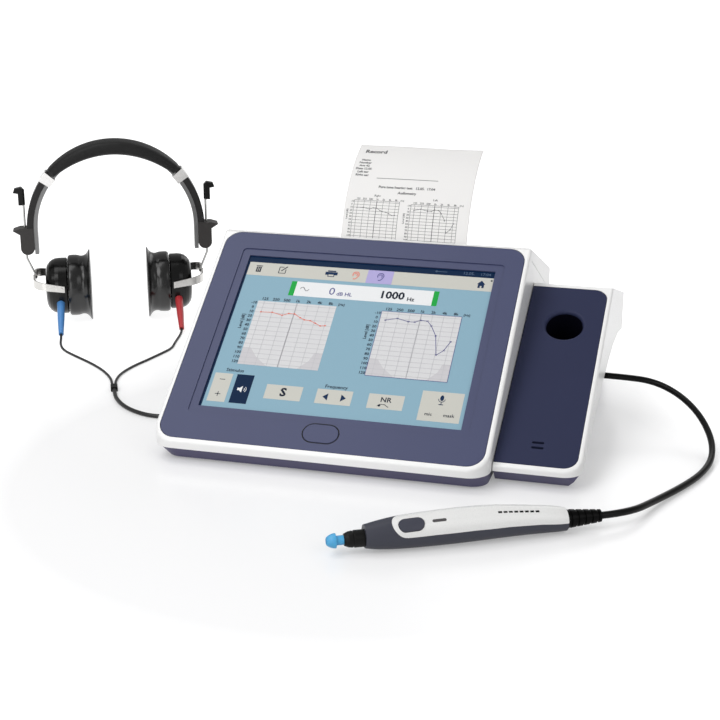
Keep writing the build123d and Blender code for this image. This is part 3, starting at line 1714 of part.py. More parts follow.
def cup_x():
    """Where the cup begins, behind its cushion."""
    return flange_x + cushion_length + cup_gap


def earcup(side):
    start, end = cup_x(), cup_x() + cup_length
    steps = 6
    dome = [(start, 0), (start, cup_radius - wall / 2), (start + wall / 3, cup_radius)]
    for i in range(steps + 1):
        angle = pi / 2 * (1 - i / steps)
        out, up = cup_round * cos(angle), cup_round * sin(angle)
        dome.append((end - cup_round + out, cup_radius - cup_round + up))
    dome.append((end, 0))
    cup = cup_profile(side, dome)
    hollow = [
        (start - wall, 0),
        (start - wall, cup_port_radius),
        (start + cup_wall, cup_port_radius),
        (start + cup_wall, cup_radius - cup_wall * 2),
        (end - cup_round, cup_radius - cup_wall * 2),
        (end - cup_wall * 2, cup_radius - cup_round),
        (end - cup_wall * 2, 0),
    ]
    cup -= cup_profile(side, hollow)
    reach = pivot_reach + pivot_clearance
    for end_side in (-1, 1):
        low, high = sorted((end_side * (cup_radius + yoke_gap - reach), end_side * (cup_radius * 2)))
        ends = (side * pivot_x, low, pivot_z), (side * pivot_x, high, pivot_z)
        cup -= rod(*ends, pivot_radius + pivot_clearance)
        outer_y = end_side * (cup_radius + yoke_gap - reach - wall)
        boss_low, boss_high = sorted((outer_y, end_side * (cup_radius - cup_wall)))
        ends = (side * pivot_x, boss_low, pivot_z), (side * pivot_x, boss_high, pivot_z)
        boss = rod(*ends, pivot_boss_radius)
        ends = (side * pivot_x, low, pivot_z), (side * pivot_x, high, pivot_z)
        bore = rod(*ends, pivot_radius + pivot_clearance)
        cup += boss - bore
    a, b = plug_point(side, plug_root - plug_seat_gap), plug_point(side, cup_radius * 2)
    cup -= rod(a, b, plug_root_radius + plug_seat_gap)
    return headset_frame() * largest(cup)


def plug_point(side, reach):
    """A point on the lead plug's axis, which slants forward and down from the cup's axis."""
    tilt = radians(plug_tilt)
    return (side * plug_x, -reach * sin(tilt), cup_axis_z - reach * cos(tilt))


def ear_cushion(side):
    """The black cushion: a drum that flares to a thin round lip."""
    start, end = flange_x, flange_x + cushion_length
    drum = start + cushion_flare
    points = [
        (end, cushion_bore),
        (end, cushion_radius - wall),
        (end - wall, cushion_radius),
        (drum + wall / 2, cushion_radius),
        (drum - wall, cushion_radius - wall / 2),
        (start + cushion_flare * cushion_waist_share, cushion_radius + wall / 4),
        (start + 2 * cushion_lip, flange_radius - wall / 3),
        (start + cushion_lip, flange_radius),
        (start, flange_radius),
        (start + cushion_lip / 2, cushion_radius - wall),
        (start + cushion_dish, cushion_radius - cushion_flare),
        (start + cushion_dish, cushion_bore),
    ]
    return headset_frame() * cup_profile(side, points)


def lead_plug(side):
    """The coloured plug at the cup: a grip that tapers into the lead."""
    a, b = plug_point(side, plug_root), plug_point(side, plug_end)
    middle = plug_point(side, plug_root + (plug_end - plug_root) * plug_grip_share)
    waist = plug_root_radius * plug_taper_share
    grip = cone_between(a, middle, plug_root_radius, waist)
    tail = cone_between(middle, b, waist, plug_end_radius)
    return headset_frame() * (grip + tail)


def lead_start(side):
    """Where a thin lead leaves its plug, and the next point straight out of it."""
    start = placed(headset_frame(), plug_point(side, plug_end))
    reach = (plug_point(side, plug_end)[2] - lead_diameter / 2 - lift) / cos(radians(plug_tilt))
    after = placed(headset_frame(), plug_point(side, plug_end + reach))
    return start, after


def split_end(side, reach):
    """A point at the back or front of the Y joint, on the left or right of its axis."""
    heading = radians(split_heading)
    along, across = (cos(heading), sin(heading)), (sin(heading), -cos(heading))
    x = split_x + along[0] * reach + across[0] * side * split_pitch / 2
    y = split_y + along[1] * reach + across[1] * side * split_pitch / 2
    return (x, y, desk_z + trunk_diameter / 2 + lift)


def on_desk(route, diameter):
    """The points of a cord that rests on the desk."""
    return [(x, y, desk_z + diameter / 2 + lift) for x, y in route]


def left_lead():
    start, after = lead_start(-1)
    entry, before = split_end(1, -split_length / 2), split_end(1, -split_length)
    points = [start, after, *on_desk(left_route, lead_diameter), before, entry]
    return cord_tube("left_lead", points, lead_diameter)


def right_lead():
    start, after = lead_start(1)
    entry, before = split_end(-1, -split_length / 2), split_end(-1, -split_length)
    points = [start, after, *on_desk(right_route, lead_diameter), before, entry]
    return cord_tube("right_lead", points, lead_diameter)


def lead_joint():
    """The moulded Y where the two thin leads meet the trunk."""
    place = Location((split_x, split_y, desk_z + lift), (0, 0, split_heading))
    joint = Pos(0, 0, split_height / 2) * Box(split_length, split_width, split_height)
    joint = fillet(joint.edges().filter_by(Axis.X), split_height / 4)
    return place * joint


def coil_low():
    """The height of the coil's lower layer, which lies on the tie."""
    return desk_z + lift + tie_thickness + tie_gap + trunk_diameter / 2


def coil_ends():
    """Where the trunk meets the coil, and where the coil lets go of the tail."""
    entry = (coil_x - coil_outer, coil_y - trunk_diameter, coil_low())
    leave = (coil_x + coil_outer, coil_y - trunk_diameter, coil_low() + coil_layer_step)
    return entry, leave


def coil_reaches():
    """How far each end of a half turn is from the coil's centre, from outside to inside."""
    reaches = [coil_outer - coil_pitch / 2 * i for i in range(coil_half_turns + 1)]
    reaches[-1] -= coil_reversal
    return reaches


def trunk_lead():
    entry, _ = coil_ends()
    start, after = split_end(0, split_length / 2), split_end(0, 3 * split_length / 2)
    last = (entry[0], trunk_last_y, entry[2])
    points = [start, after, *on_desk(trunk_route, trunk_diameter), last, entry]
    return cord_tube("trunk_lead", points, trunk_diameter)


def lead_coil():
    """The put-away length: two layers of loops, spiralling in below and out again above."""
    low = coil_low()
    high = low + coil_layer_step
    reaches = coil_reaches()
    places = [(-r if i % 2 == 0 else r, low) for i, r in enumerate(reaches)]
    last_side = 1 if places[-1][0] > 0 else -1
    for i, reach in enumerate(reversed(reaches)):
        places.append((-last_side * reach if i % 2 == 0 else last_side * reach, high))
    entry, leave = coil_ends()
    points = [Vector(coil_x + x, coil_y, z) for x, z in places]
    edges = [Line(Vector(*entry), points[0])]
    for i, (a, b) in enumerate(zip(points, points[1:])):
        radius = abs(b.X - a.X) / 2
        way = 1 if i % 2 == 0 else -1
        edges.append(ThreePointArc(a, (a + b) / 2 + Vector(0, way * radius, 0), b))
    edges.append(Line(points[-1], Vector(*leave)))
    path = Wire(edges)
    tube = sweep(Plane(origin=path @ 0, z_dir=path % 0) * Circle(trunk_diameter / 2), path=path)
    expected = pi * trunk_diameter**2 / 4 * path.length
    share = round(tube.volume / expected, 4)
    print("lead_coil length", round(path.length, 1), "volume over section times length", share)
    print("  least gap to itself", round(least_gap(path, trunk_diameter), 3))
    return tube


def least_gap(path, diameter):
    """The smallest space between a tube and itself, measured on points along its line."""
    count = 1100
    points = [path @ (i / count) for i in range(count + 1)]
    step = path.length / count
    skip = int(2 * diameter / step) + 1
    best = path.length
    for i, a in enumerate(points):
        for b in points[i + skip :]:
            distance = (a - b).length
            if distance < best:
                best = distance
    return best - diameter


def coil_tie():
    """The flat tie round one side of the coil."""
    half = trunk_diameter / 2 + tie_gap
    inner = coil_reaches()[-1]
    reach = sqrt(inner**2 - (tie_width / 2) ** 2)
    low_x = coil_x - coil_outer - half
    high_x = coil_x - reach + trunk_diameter / 2 * inner / reach + tie_gap
    low, high = coil_low() - half, coil_low() + coil_layer_step + half
    t = tie_thickness
    ring = box_between(
        (low_x - t, coil_y - tie_width / 2, low - t), (high_x + t, coil_y + tie_width / 2, high + t)
    )
    ring -= box_between((low_x, coil_y - tie_width, low), (high_x, coil_y + tie_width, high))
    return ring


def tail_lead():
    _, leave = coil_ends()
    plug_y = rear_y + jack_ring_proud + plug_body_length + plug_boot_length
    points = [
        leave,
        (leave[0], tail_first_y, leave[2]),
        *tail_route,
        (jack_x, tail_last_y, jack_z),
        (jack_x, plug_y, jack_z),
    ]
    return cord_tube("tail_lead", points, trunk_diameter)


def jack_plug():
    y = rear_y + jack_ring_proud
    x, z = jack_x, jack_z
    plug = rod((x, y, z), (x, y + plug_body_length, z), plug_body_radius)
    start, end = y + plug_body_length, y + plug_body_length + plug_boot_length
    plug += cone_between((x, start, z), (x, end, z), plug_boot_radius, plug_exit_radius)
    tip_y = y - plug_pin_length
    plug += rod((x, tip_y, z), (x, y, z), plug_pin_radius)
    return plug


def build_parts():
    """Every named piece of the part."""
    parts = {
        "base_tray": base_tray(),
        "main_shell": main_shell(),
        "rear_cover": rear_cover(),
        "front_bezel": front_bezel(),
        "touch_glass": touch_glass(),
        "lcd_module": lcd_module(),
        "display_frame": display_frame(),
        "main_board": main_board(),
        "home_button": home_button(),
        "button_switch": button_switch(),
        "rubber_feet": rubber_feet(),
        "case_screws": case_screws(),
        "air_pump": air_pump(),
        "rear_sockets": rear_sockets(),
        "power_switch": power_switch(),
        "printer_lid": printer_lid(),
        "lid_pin": lid_pin(),
        "printer_frame": printer_frame(),
        "paper_roll": paper_roll(),
        "platen_roller": platen_roller(),
        "paper_strip": paper_strip(),
        "cradle_base": cradle_base(),
        "cradle_shell": cradle_shell(),
        "cradle_cover": cradle_cover_plate(),
        "probe_well": probe_well(),
        "cable_gland": cable_gland(),
        "probe_cable": probe_cable(),
        "probe_lower_shell": probe_lower_shell(),
        "probe_upper_shell": probe_upper_shell(),
        "probe_button": probe_button(),
        "probe_lamp": probe_lamp(),
        "probe_board": probe_board(),
        "probe_nozzle": probe_nozzle(),
        "probe_collar": probe_collar(),
        "ear_tip": ear_tip(),
        "probe_boot": probe_boot(),
        "headband_strap": headband_strap(),
        "headband_spring": headband_spring(),
        "headband_pad": headband_pad(),
        "band_clamps": band_clamps(),
        "left_lead": left_lead(),
        "right_lead": right_lead(),
        "lead_joint": lead_joint(),
        "trunk_lead": trunk_lead(),
        "lead_coil": lead_coil(),
        "coil_tie": coil_tie(),
        "tail_lead": tail_lead(),
        "jack_plug": jack_plug(),
    }
    for side, word in ((-1, "left"), (1, "right")):
        parts["slider_" + word] = slider_block(side)
        parts["stem_" + word] = stem(side)
        parts["yoke_" + word] = yoke(side)
        parts["earcup_" + word] = earcup(side)
        parts["ear_cushion_" + word] = ear_cushion(side)
        parts["lead_plug_" + word] = lead_plug(side)
    return parts


os.makedirs("parts", exist_ok=True)
for node, shape in build_parts().items():
    export_step(shape, "parts/" + node + ".step")
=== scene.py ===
# %% [markdown]
# # A desk tympanometer
#
# The instrument is a navy and white housing with a sloped touch screen, a strip printer behind
# it and a cradle at its right. A hand probe lies in front on its cable, and an audiometric
# headset stands at the left on its lead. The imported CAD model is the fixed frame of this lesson:
# we load it, give its nodes real finishes, and model the soft, printed and wound pieces anew.

# %% Load the frame
import math
import bpy
from mathutils import Matrix, Vector


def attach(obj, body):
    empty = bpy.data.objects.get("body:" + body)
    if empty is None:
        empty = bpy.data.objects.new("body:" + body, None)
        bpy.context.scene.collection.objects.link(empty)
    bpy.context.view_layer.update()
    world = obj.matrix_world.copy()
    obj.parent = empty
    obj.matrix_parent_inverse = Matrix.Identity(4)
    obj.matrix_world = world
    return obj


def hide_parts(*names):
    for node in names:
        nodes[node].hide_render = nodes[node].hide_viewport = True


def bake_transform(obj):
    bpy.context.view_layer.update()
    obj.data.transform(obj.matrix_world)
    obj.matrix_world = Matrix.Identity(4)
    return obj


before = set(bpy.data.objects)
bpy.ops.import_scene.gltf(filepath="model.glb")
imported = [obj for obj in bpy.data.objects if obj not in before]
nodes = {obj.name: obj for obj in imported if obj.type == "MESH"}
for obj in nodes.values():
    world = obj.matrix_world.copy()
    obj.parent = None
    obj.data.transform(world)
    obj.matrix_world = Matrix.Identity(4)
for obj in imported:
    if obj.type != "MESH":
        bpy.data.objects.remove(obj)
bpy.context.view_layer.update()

# %% [markdown]
# ## Millimetres and placed lengths
#
# Blender works in metres and the instrument was measured in millimetres. One small helper turns
# a point given in millimetres into a vector, so that every cell below reads like a drawing.

# %% Helpers for places
MM = 0.001


def mm(*point):
    """A point in millimetres as a vector in metres."""
    return Vector(point) * MM


def direction(azimuth):
    """A level unit vector; the azimuth turns from +X towards +Y."""
    turned = math.radians(azimuth)
    return Vector((math.cos(turned), math.sin(turned), 0))


# %% [markdown]
# ## The camera
#
# The picture was taken from the right and above with a short telephoto lens. The place, the two
# angles and the lens were solved from the corners of the housing, so the camera needs no shift.

# %% Camera
AZIMUTH, ELEVATION = 15.28, 18.12
lens = bpy.data.cameras.new("camera")
lens.sensor_width, lens.lens = 36.0, 74.55
lens.clip_start, lens.clip_end = 0.05, 30.0
camera = bpy.data.objects.new("camera", lens)
camera.location = mm(311.0, -1154.6, 435.5)
camera.rotation_euler = (math.radians(90 - ELEVATION), 0, math.radians(AZIMUTH))
bpy.context.scene.collection.objects.link(camera)
bpy.context.scene.camera = camera
bpy.context.scene.view_settings.view_transform = "Standard"
print("camera at", tuple(round(v, 3) for v in camera.location))

# %% [markdown]
# ## Meshes from points and faces
#
# Most pieces here are plain data: a list of points and a list of faces. This helper makes the
# object, leaves it at the origin with its place in its mesh, and turns all faces outwards, since
# a lathe or a sweep can come out inside out.

# %% Mesh helper
import bmesh


def mesh_piece(name, points, faces, flat=False):
    """A mesh object at the origin, from points in metres; a flat one keeps its faces as given."""
    mesh = bpy.data.meshes.new(name)
    mesh.from_pydata([tuple(p) for p in points], [], faces)
    if not flat:
        work = bmesh.new()
        work.from_mesh(mesh)
        bmesh.ops.remove_doubles(work, verts=work.verts, dist=1e-7)
        bmesh.ops.recalc_face_normals(work, faces=work.faces)
        work.to_mesh(mesh)
        work.free()
    mesh.polygons.foreach_set("use_smooth", [not flat] * len(mesh.polygons))
    piece = bpy.data.objects.new(name, mesh)
    bpy.context.scene.collection.objects.link(piece)
    return piece


def plain_mesh(source, name):
    """What an object shows, modifiers and bevels included, as a new mesh object."""
    bpy.context.view_layer.update()
    graph = bpy.context.evaluated_depsgraph_get()
    mesh = bpy.data.meshes.new_from_object(source.evaluated_get(graph))
    mesh.name = name
    piece = bpy.data.objects.new(name, mesh)
    bpy.context.scene.collection.objects.link(piece)
    return piece


# %% [markdown]
# ## Cords
#
# A cord is a fixed length of something flexible. A quadratic NURBS spline through a few route
# points gives the loose, even curves that a real cable takes, where points joined by arcs would
# look like bent wire. The order is set after the points, because it is cut down to the number of
# points that the spline has at that moment.

# %% Cord helper
def cord_curve(name, route, diameter=None):
    """A curve object along a route in millimetres; without a diameter it is the bare line."""
    curve = bpy.data.curves.new(name, "CURVE")
    curve.dimensions = "3D"
    curve.use_fill_caps = True
    spline = curve.splines.new("NURBS")
    spline.points.add(len(route) - 1)
    for point, place in zip(spline.points, route):
        point.co = (*mm(*place), 1.0)
    spline.order_u = 3
    spline.use_endpoint_u = True
    spline.resolution_u = 6
    if diameter:
        curve.bevel_depth = diameter / 2 * MM
        curve.bevel_resolution = 3
    piece = bpy.data.objects.new(name, curve)
    bpy.context.scene.collection.objects.link(piece)
    return piece


def line_of(route):
    """The points of a route's spline, read from its unthickened curve."""
    bare = cord_curve("line", route)
    shown = plain_mesh(bare, "line_points")
    points = [v.co.copy() for v in shown.data.vertices]
    for leftover in (bare, shown):
        bpy.data.objects.remove(leftover)
    return points


def length_of(points):
    return sum((b - a).length for a, b in zip(points, points[1:]))


def cord_piece(name, route, diameter):
    """A cord as a plain mesh made from its thick curve, and the line that it follows."""
    curve = cord_curve(name + "_curve", route, diameter)
    piece = plain_mesh(curve, name)
    bpy.data.objects.remove(curve)
    piece.data.polygons.foreach_set("use_smooth", [True] * len(piece.data.polygons))
    return piece, line_of(route)


# %% [markdown]
# ### The probe's cable
#
# A 5.2 mm cable leaves the gland in the cradle's side, bows to the right under its own weight,
# lies on the desk and rises into the probe's ribbed boot. All of it is in view, so this is its
# whole length.

# %% Probe cable
CABLE_ROUTE = [
    (195, 48.9, 32), (213, 48.9, 32), (236, 52.5, 29.5), (257.5, 41.5, 24.5), (276, 18.5, 17.5),
    (288.5, -11, 8.5), (291.5, -41, 2.2), (285.5, -71, 0.65), (273, -101, 0.65),
    (255.5, -136, 1.9), (240, -174.6, 7.1), (220.6, -185.2, 7.1),
]
CABLE_ACROSS = 5.2
cable, cable_line = cord_piece("probe_cable_run", CABLE_ROUTE, CABLE_ACROSS)
cable_length = length_of(cable_line)
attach(cable, "unit")
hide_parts("probe_cable")
print("probe cable", round(cable_length, 3), "m")

# %% [markdown]
# ### The headset's lead
#
# The lead runs from the joint where its two thin halves meet, round the left of the housing and
# behind it. The length that nobody needs on the desk is wound into a neat coil of two layers,
# held by a tie. The turns are more points of the same spline. A quadratic spline runs inside its
# points, so the turns' points lie a little outside the real radius.

# %% Trunk, coil and tail
TRUNK_ROUTE = [
    (-227.21, -9.69), (-222.82, -18.68), (-216, -30.5), (-203.5, -45), (-188.5, -56),
    (-172, -62.5), (-157.5, -61.5), (-147.5, -52), (-144, -37), (-145.5, -10), (-148, 32),
    (-146, 76), (-149, 119), (-142.5, 157), (-125, 189), (-105.5, 216),
]
COIL_CENTRE = (-62.0, 277.0)
COIL_REACHES = [30.5, 28.45, 26.4, 24.35, 22.3, 20.25, 18.2, 16.15, 14.1, 11.55]
STEPS_PER_TURN, LAYER_HEIGHT, LAYER_RISE = 12, 0.85, 4.1


def coil_points():
    """The coil's points: inwards in the lower layer, outwards in the upper one."""
    reaches = COIL_REACHES + COIL_REACHES[::-1]
    last = len(reaches) - 1
    outside = 1 / math.cos(math.pi / STEPS_PER_TURN)
    points = []
    for i in range(last * STEPS_PER_TURN // 2 + 2):
        turned = (i - 0.5) * 2 / STEPS_PER_TURN
        at = min(max(turned, 0), last)
        low = min(int(at), last - 1)
        reach = reaches[low] + (reaches[low + 1] - reaches[low]) * (at - low)
        lift = min(max(turned - len(COIL_REACHES) + 1, 0), 1)
        angle = math.pi * (1 - turned)
        points.append((
            COIL_CENTRE[0] + reach * outside * math.cos(angle),
            COIL_CENTRE[1] + reach * outside * math.sin(angle),
            LAYER_HEIGHT + LAYER_RISE * lift,
        ))
    return points


TAIL_ROUTE = [
    (-31.5, 258, LAYER_HEIGHT + LAYER_RISE), (-33.2, 246, 7.6), (-37, 231, 13.4),
    (-40, 215.5, 18.5), (-40, 203.2, 18.5),
]
LEAD_HEIGHT, LEAD_ACROSS = -0.15, 3.6
LEAD_ROUTE = [(*p, LEAD_HEIGHT) for p in TRUNK_ROUTE] + [(-92.5, 246, LAYER_HEIGHT)]
LEAD_ROUTE += coil_points() + TAIL_ROUTE
lead, lead_line = cord_piece("headset_lead", LEAD_ROUTE, LEAD_ACROSS)
lead_length = length_of(lead_line)
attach(lead, "unit")
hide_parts("trunk_lead", "lead_coil", "tail_lead")
print("headset lead", round(lead_length, 3), "m,", len(LEAD_ROUTE), "points")

# %% [markdown]
# ### The two thin leads
#
# Each thin lead joins a cup's plug to the trunk, so it has to bend when the fork turns and when
# the cup tilts. A blended piece bends across one joint only. We cut each lead in two tubes along
# the same spline: a long one between the unit and the fork, and a short one between the fork and
# the cup. Neither tube is attached to a body here.

# %% Tube along a line
def tube_points(line, radius, sides):
    """Rings of points round a line, turned with it without twisting."""
    rings, side = [], None
    for i, place in enumerate(line):
        ahead = (line[min(i + 1, len(line) - 1)] - line[max(i - 1, 0)]).normalized()
        if side is None:
            side = ahead.cross(Vector((0, 0, 1))).normalized()
        side = (side - ahead * side.dot(ahead)).normalized()
        up = ahead.cross(side)
        turns = [2 * math.pi * k / sides for k in range(sides)]
        rings.append([place + (side * math.cos(t) + up * math.sin(t)) * radius for t in turns])
    return rings


def ring_faces(rings, sides):
    """Quads between neighbouring rings, with a cap at each end."""
    faces = []
    for r in range(rings - 1):
        for k in range(sides):
            a, b = r * sides + k, r * sides + (k + 1) % sides
            faces.append((a, b, b + sides, a + sides))
    faces.append(tuple(range(sides)))
    faces.append(tuple((rings - 1) * sides + k for k in range(sides)))
    return faces


def tube(name, line, diameter, sides=12):
    rings = tube_points(line, diameter / 2 * MM, sides)
    points = [p for ring in rings for p in ring]
    return mesh_piece(name, points, ring_faces(len(rings), sides))


# %% Thin leads
LEFT_ROUTE = [
    (-344.43, 124.89, 1.78), (-342.3, 120.2, -0.75), (-334, 101.5, -0.75),
    (-323, 85.5, -0.75), (-302, 70.5, -0.75), (-280.5, 56, -0.75), (-260.5, 39.5, -0.75),
    (-244.5, 21, -0.75), (-235.04, 3.17, -0.15), (-232.85, -1.32, -0.15),
]
RIGHT_ROUTE = [
    (-236.77, 174.18, 1.78), (-234.6, 169.5, -0.75), (-229, 137, -0.75), (-224.6, 119, -0.75),
    (-228.4, 100, -0.75), (-233.2, 79, -0.75), (-239, 57, -0.75), (-241, 34, -0.75),
    (-237.6, 17, -0.75), (-232.53, 4.40, -0.15), (-230.33, -0.10, -0.15),
]
THIN_ACROSS, CUP_LENGTH = 2.4, 0.045
thin_leads = {}
for side, route in (("left", LEFT_ROUTE), ("right", RIGHT_ROUTE)):
    line = line_of(route)
    split = next(i for i in range(len(line)) if length_of(line[: i + 1]) > CUP_LENGTH)
    near, far = line[: split + 1], line[split:]
    cup_end = tube(f"{side}_lead_cup_end", near, THIN_ACROSS)
    desk_end = tube(f"{side}_lead_run", far, THIN_ACROSS)
    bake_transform(cup_end)
    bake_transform(desk_end)
    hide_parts(f"{side}_lead")
    length_of(near)
    length_of(far)
    thin_leads[side] = (cup_end, desk_end)
    print(side, "lead", round(length_of(line), 4), "m")

# %% [markdown]
# ## Finishes
#
# Every finish is a Principled surface. Its colour, and on most its gloss and small relief too,
# are worked out from the point's own place, so nothing is painted by hand and no image is
# needed. Two small classes keep the node trees readable: `Value` is a number or colour inside a
# tree, on which + and * add the Math nodes, and `Finish` is one material with a single method
# that makes any node.

# %% Value and Finish
class Value:
    """A socket in a finish; arithmetic on it adds Math nodes."""

    def __init__(self, finish, socket):
        self.finish, self.socket = finish, socket

    def math(self, operation, *others):
        inputs = {i: v for i, v in enumerate((self, *others))}
        return self.finish.node("Math", inputs, operation=operation)

    def __add__(self, other):
        return self.math("ADD", other)

    def __mul__(self, other):
        return self.math("MULTIPLY", other)

    __radd__, __rmul__ = __add__, __mul__

    def between(self, low, high):
        """0 below low, 1 above high and a ramp between them."""
        inputs = {"Value": self, "From Min": low, "From Max": high}
        return self.finish.node("MapRange", inputs)


class Finish:
    """One material: a Principled surface and the nodes that vary it."""

    def __init__(self, name, colour, roughness, **shader):
        self.material = bpy.data.materials.new(name)
        self.material.use_nodes = True
        self.tree = self.material.node_tree
        self.surface = self.tree.nodes["Principled BSDF"]
        self.surface.inputs["Base Color"].default_value = (*colour, 1)
        self.surface.inputs["Roughness"].default_value = roughness
        for socket, value in shader.items():
            self.surface.inputs[socket.replace("_", " ")].default_value = value
        self.colour, self.roughness = colour, roughness

    def node(self, kind, inputs=None, output=0, **settings):
        """A node of any kind, its inputs set or linked, as the Value of one of its outputs."""
        made = self.tree.nodes.new("ShaderNode" + kind)
        for key, value in settings.items():
            setattr(made, key, value)
        for key, value in (inputs or {}).items():
            self.put(made.inputs[key], value)
        return Value(self, made.outputs[output])

    def put(self, socket, value):
        if isinstance(value, Value):
            self.tree.links.new(value.socket, socket)
        else:
            socket.default_value = value

    def place(self, stretch=(1, 1, 1)):
        """The point's own place, stretched for patterns with a direction."""
        here = self.node("TexCoord", output="Object")
        return self.node("Mapping", {"Vector": here, "Scale": stretch})

    def noise(self, size, detail=2.0, **where):
        """Smooth noise from 0 to 1 whose grain is about size millimetres."""
        inputs = {"Vector": self.place(**where), "Scale": 1 / (size * MM), "Detail": detail}
        return self.node("TexNoise", inputs)

    def tint(self, amount, share):
        """Varies the base colour by up to share as amount goes from 0 to 1."""
        dark = tuple(c * (1 - share) for c in self.colour)
        light = tuple(min(c * (1 + share), 1) for c in self.colour)
        inputs = {0: amount, 6: (*dark, 1), 7: (*light, 1)}
        mixed = self.node("Mix", inputs, output=2, data_type="RGBA")
        self.put(self.surface.inputs["Base Color"], mixed)

    def gloss(self, amount, share):
        """Varies the roughness about its set value."""
        value = amount * (2 * share * self.roughness) + self.roughness * (1 - share)
        self.put(self.surface.inputs["Roughness"], value)

    def relief(self, height, strength, depth=0.1):
        """Bumps the surface by a height from 0 to 1, depth millimetres deep."""
        inputs = {"Strength": strength, "Distance": depth * MM, "Height": height}
        self.put(self.surface.inputs["Normal"], self.node("Bump", inputs))


# %% [markdown]
# ### Moulded plastics
#
# The housing's plastics differ in colour and polish, and share their build: a fine spark-eroded
# grain that breaks up the gloss, over a slow unevenness of colour that any large moulding has.
# One maker of finishes serves them all, and each gets its own grain size and depth.

# %% Plastics
finishes = {}


def plastic(name, colour, roughness, grain=0.5, depth=0.02, cloud=45.0, share=0.06, **shader):
    made = Finish(name, colour, roughness, **shader)
    made.tint(made.noise(cloud, 3.0), share)
    fine = made.noise(grain, 2.0)
    made.gloss(fine, 0.22)
    made.relief(fine, 0.35, depth)
    finishes[name] = made.material
    return made


plastic("tray_navy", (0.074, 0.068, 0.145), 0.46, grain=0.6, depth=0.035)
plastic("panel_navy", (0.056, 0.065, 0.138), 0.38, grain=0.35, depth=0.012, share=0.04,
        Specular_IOR_Level=0.28)
plastic("cover_navy", (0.026, 0.031, 0.072), 0.46, grain=0.4, depth=0.018, share=0.05,
        Specular_IOR_Level=0.12)
plastic("case_white", (0.88, 0.88, 0.875), 0.30, grain=0.7, depth=0.012, share=0.015)
plastic("probe_white", (0.78, 0.78, 0.77), 0.28, grain=0.5, depth=0.008, share=0.015)
plastic("probe_navy", (0.045, 0.047, 0.064), 0.42, grain=0.45, depth=0.02,
        Specular_IOR_Level=0.3)
plastic("key_navy", (0.048, 0.050, 0.070), 0.45, grain=0.5, depth=0.02,
        Specular_IOR_Level=0.3)
plastic("matt_black", (0.005, 0.005, 0.005), 0.42, grain=0.6, depth=0.03,
        Specular_IOR_Level=0.16)
plastic("slider_black", (0.034, 0.031, 0.030), 0.40, grain=0.8, depth=0.03,
        Specular_IOR_Level=0.3)
plastic("strap_black", (0.017, 0.016, 0.016), 0.30, grain=0.8, depth=0.02,
        Specular_IOR_Level=0.24)
plastic("cup_black", (0.002, 0.002, 0.002), 0.20, grain=1.5, depth=0.006, share=0.1,
        Specular_IOR_Level=0.27)
# The probe well's near-black, almost glossless colour is painted shade: the darkness deep in the
# hole, put into its finish.
plastic("well_painted_shade", (0.003, 0.003, 0.008), 0.55, grain=0.8, Specular_IOR_Level=0.05)
plastic("stop_black", (0.004, 0.004, 0.004), 0.30, grain=0.9, depth=0.02,
        Specular_IOR_Level=0.2)
plastic("plug_blue", (0.075, 0.25, 0.58), 0.34, grain=0.7, depth=0.02)
plastic("plug_red", (0.50, 0.040, 0.048), 0.34, grain=0.7, depth=0.02)
plastic("lamp_window", (0.080, 0.075, 0.078), 0.22, grain=0.6, depth=0.01)
print("plastics", len(finishes))

# %% [markdown]
# ### Rubber, silicone and cable jackets
#
# Rubber's colour drifts over shorter distances than a hard moulding's. The feet are rough with
# a faint bloom, which a little sheen gives. The jackets, the boot and the ear cushions are
# smoother and almost black, and the silicone tip lets some light into its skin.

# %% Rubbers
def rubber(name, colour, roughness, grain=0.8, depth=0.04, **shader):
    return plastic(name, colour, roughness, grain, depth, cloud=12.0, share=0.15, **shader)


rubber("boot_rubber", (0.002, 0.002, 0.002), 0.30, Specular_IOR_Level=0.07)
rubber("foot_rubber", (0.03, 0.03, 0.032), 0.7, Sheen_Weight=0.15)
rubber("cable_jacket", (0.002, 0.002, 0.002), 0.30, grain=1.6, depth=0.01,
       Specular_IOR_Level=0.14)
rubber("lead_jacket", (0.016, 0.016, 0.016), 0.42, grain=1.2, depth=0.02,
       Specular_IOR_Level=0.4)
rubber("cushion_rubber", (0.003, 0.003, 0.003), 0.22, grain=0.8, depth=0.002,
       Specular_IOR_Level=0.55)
tip = rubber("tip_silicone", (0.075, 0.40, 0.70), 0.38, grain=1.5, depth=0.015)
tip.surface.inputs["Subsurface Weight"].default_value = 0.35
tip.surface.inputs["Subsurface Radius"].default_value = (0.001, 0.002, 0.003)

# %% [markdown]
# ### The padded cover
#
# The headband's pad is covered in soft black leatherette. Its grain is a field of small cells,
# so a Voronoi pattern gives the creases between them, and slow noise makes them uneven.

# %% Leatherette
leatherette = Finish("pad_leatherette", (0.008, 0.008, 0.008), 0.50, Specular_IOR_Level=0.25)
cells = leatherette.node(
    "TexVoronoi",
    {"Vector": leatherette.place(), "Scale": 1 / (1.3 * MM)},
    feature="DISTANCE_TO_EDGE",
)
creases = cells.between(0.0, 0.16)
slow = leatherette.noise(9.0, 3.0)
leatherette.tint(slow, 0.25)
leatherette.gloss(creases, 0.15)
leatherette.relief(creases * 0.7 + slow * 0.6, 0.5, 0.12)
finishes["pad_leatherette"] = leatherette.material

# %% [markdown]
# ### Metals
#
# Drawn wire and rolled sheet carry faint lines in one direction, which noise stretched that way
# gives. A softer noise over all the metals is the wear of handling. The pump, which is inside
# the case, is duller.

# %% Metals
def metal(name, colour, roughness, lines=(1, 1, 1), mark=6.0):
    made = Finish(name, colour, roughness, Metallic=1.0)
    drawn = made.noise(0.5, 2.0, stretch=lines)
    worn = made.noise(mark, 4.0)
    made.tint(worn, 0.08)
    made.gloss(drawn * 0.6 + worn * 0.4, 0.45)
    made.relief(drawn, 0.25, 0.01)
    finishes[name] = made.material


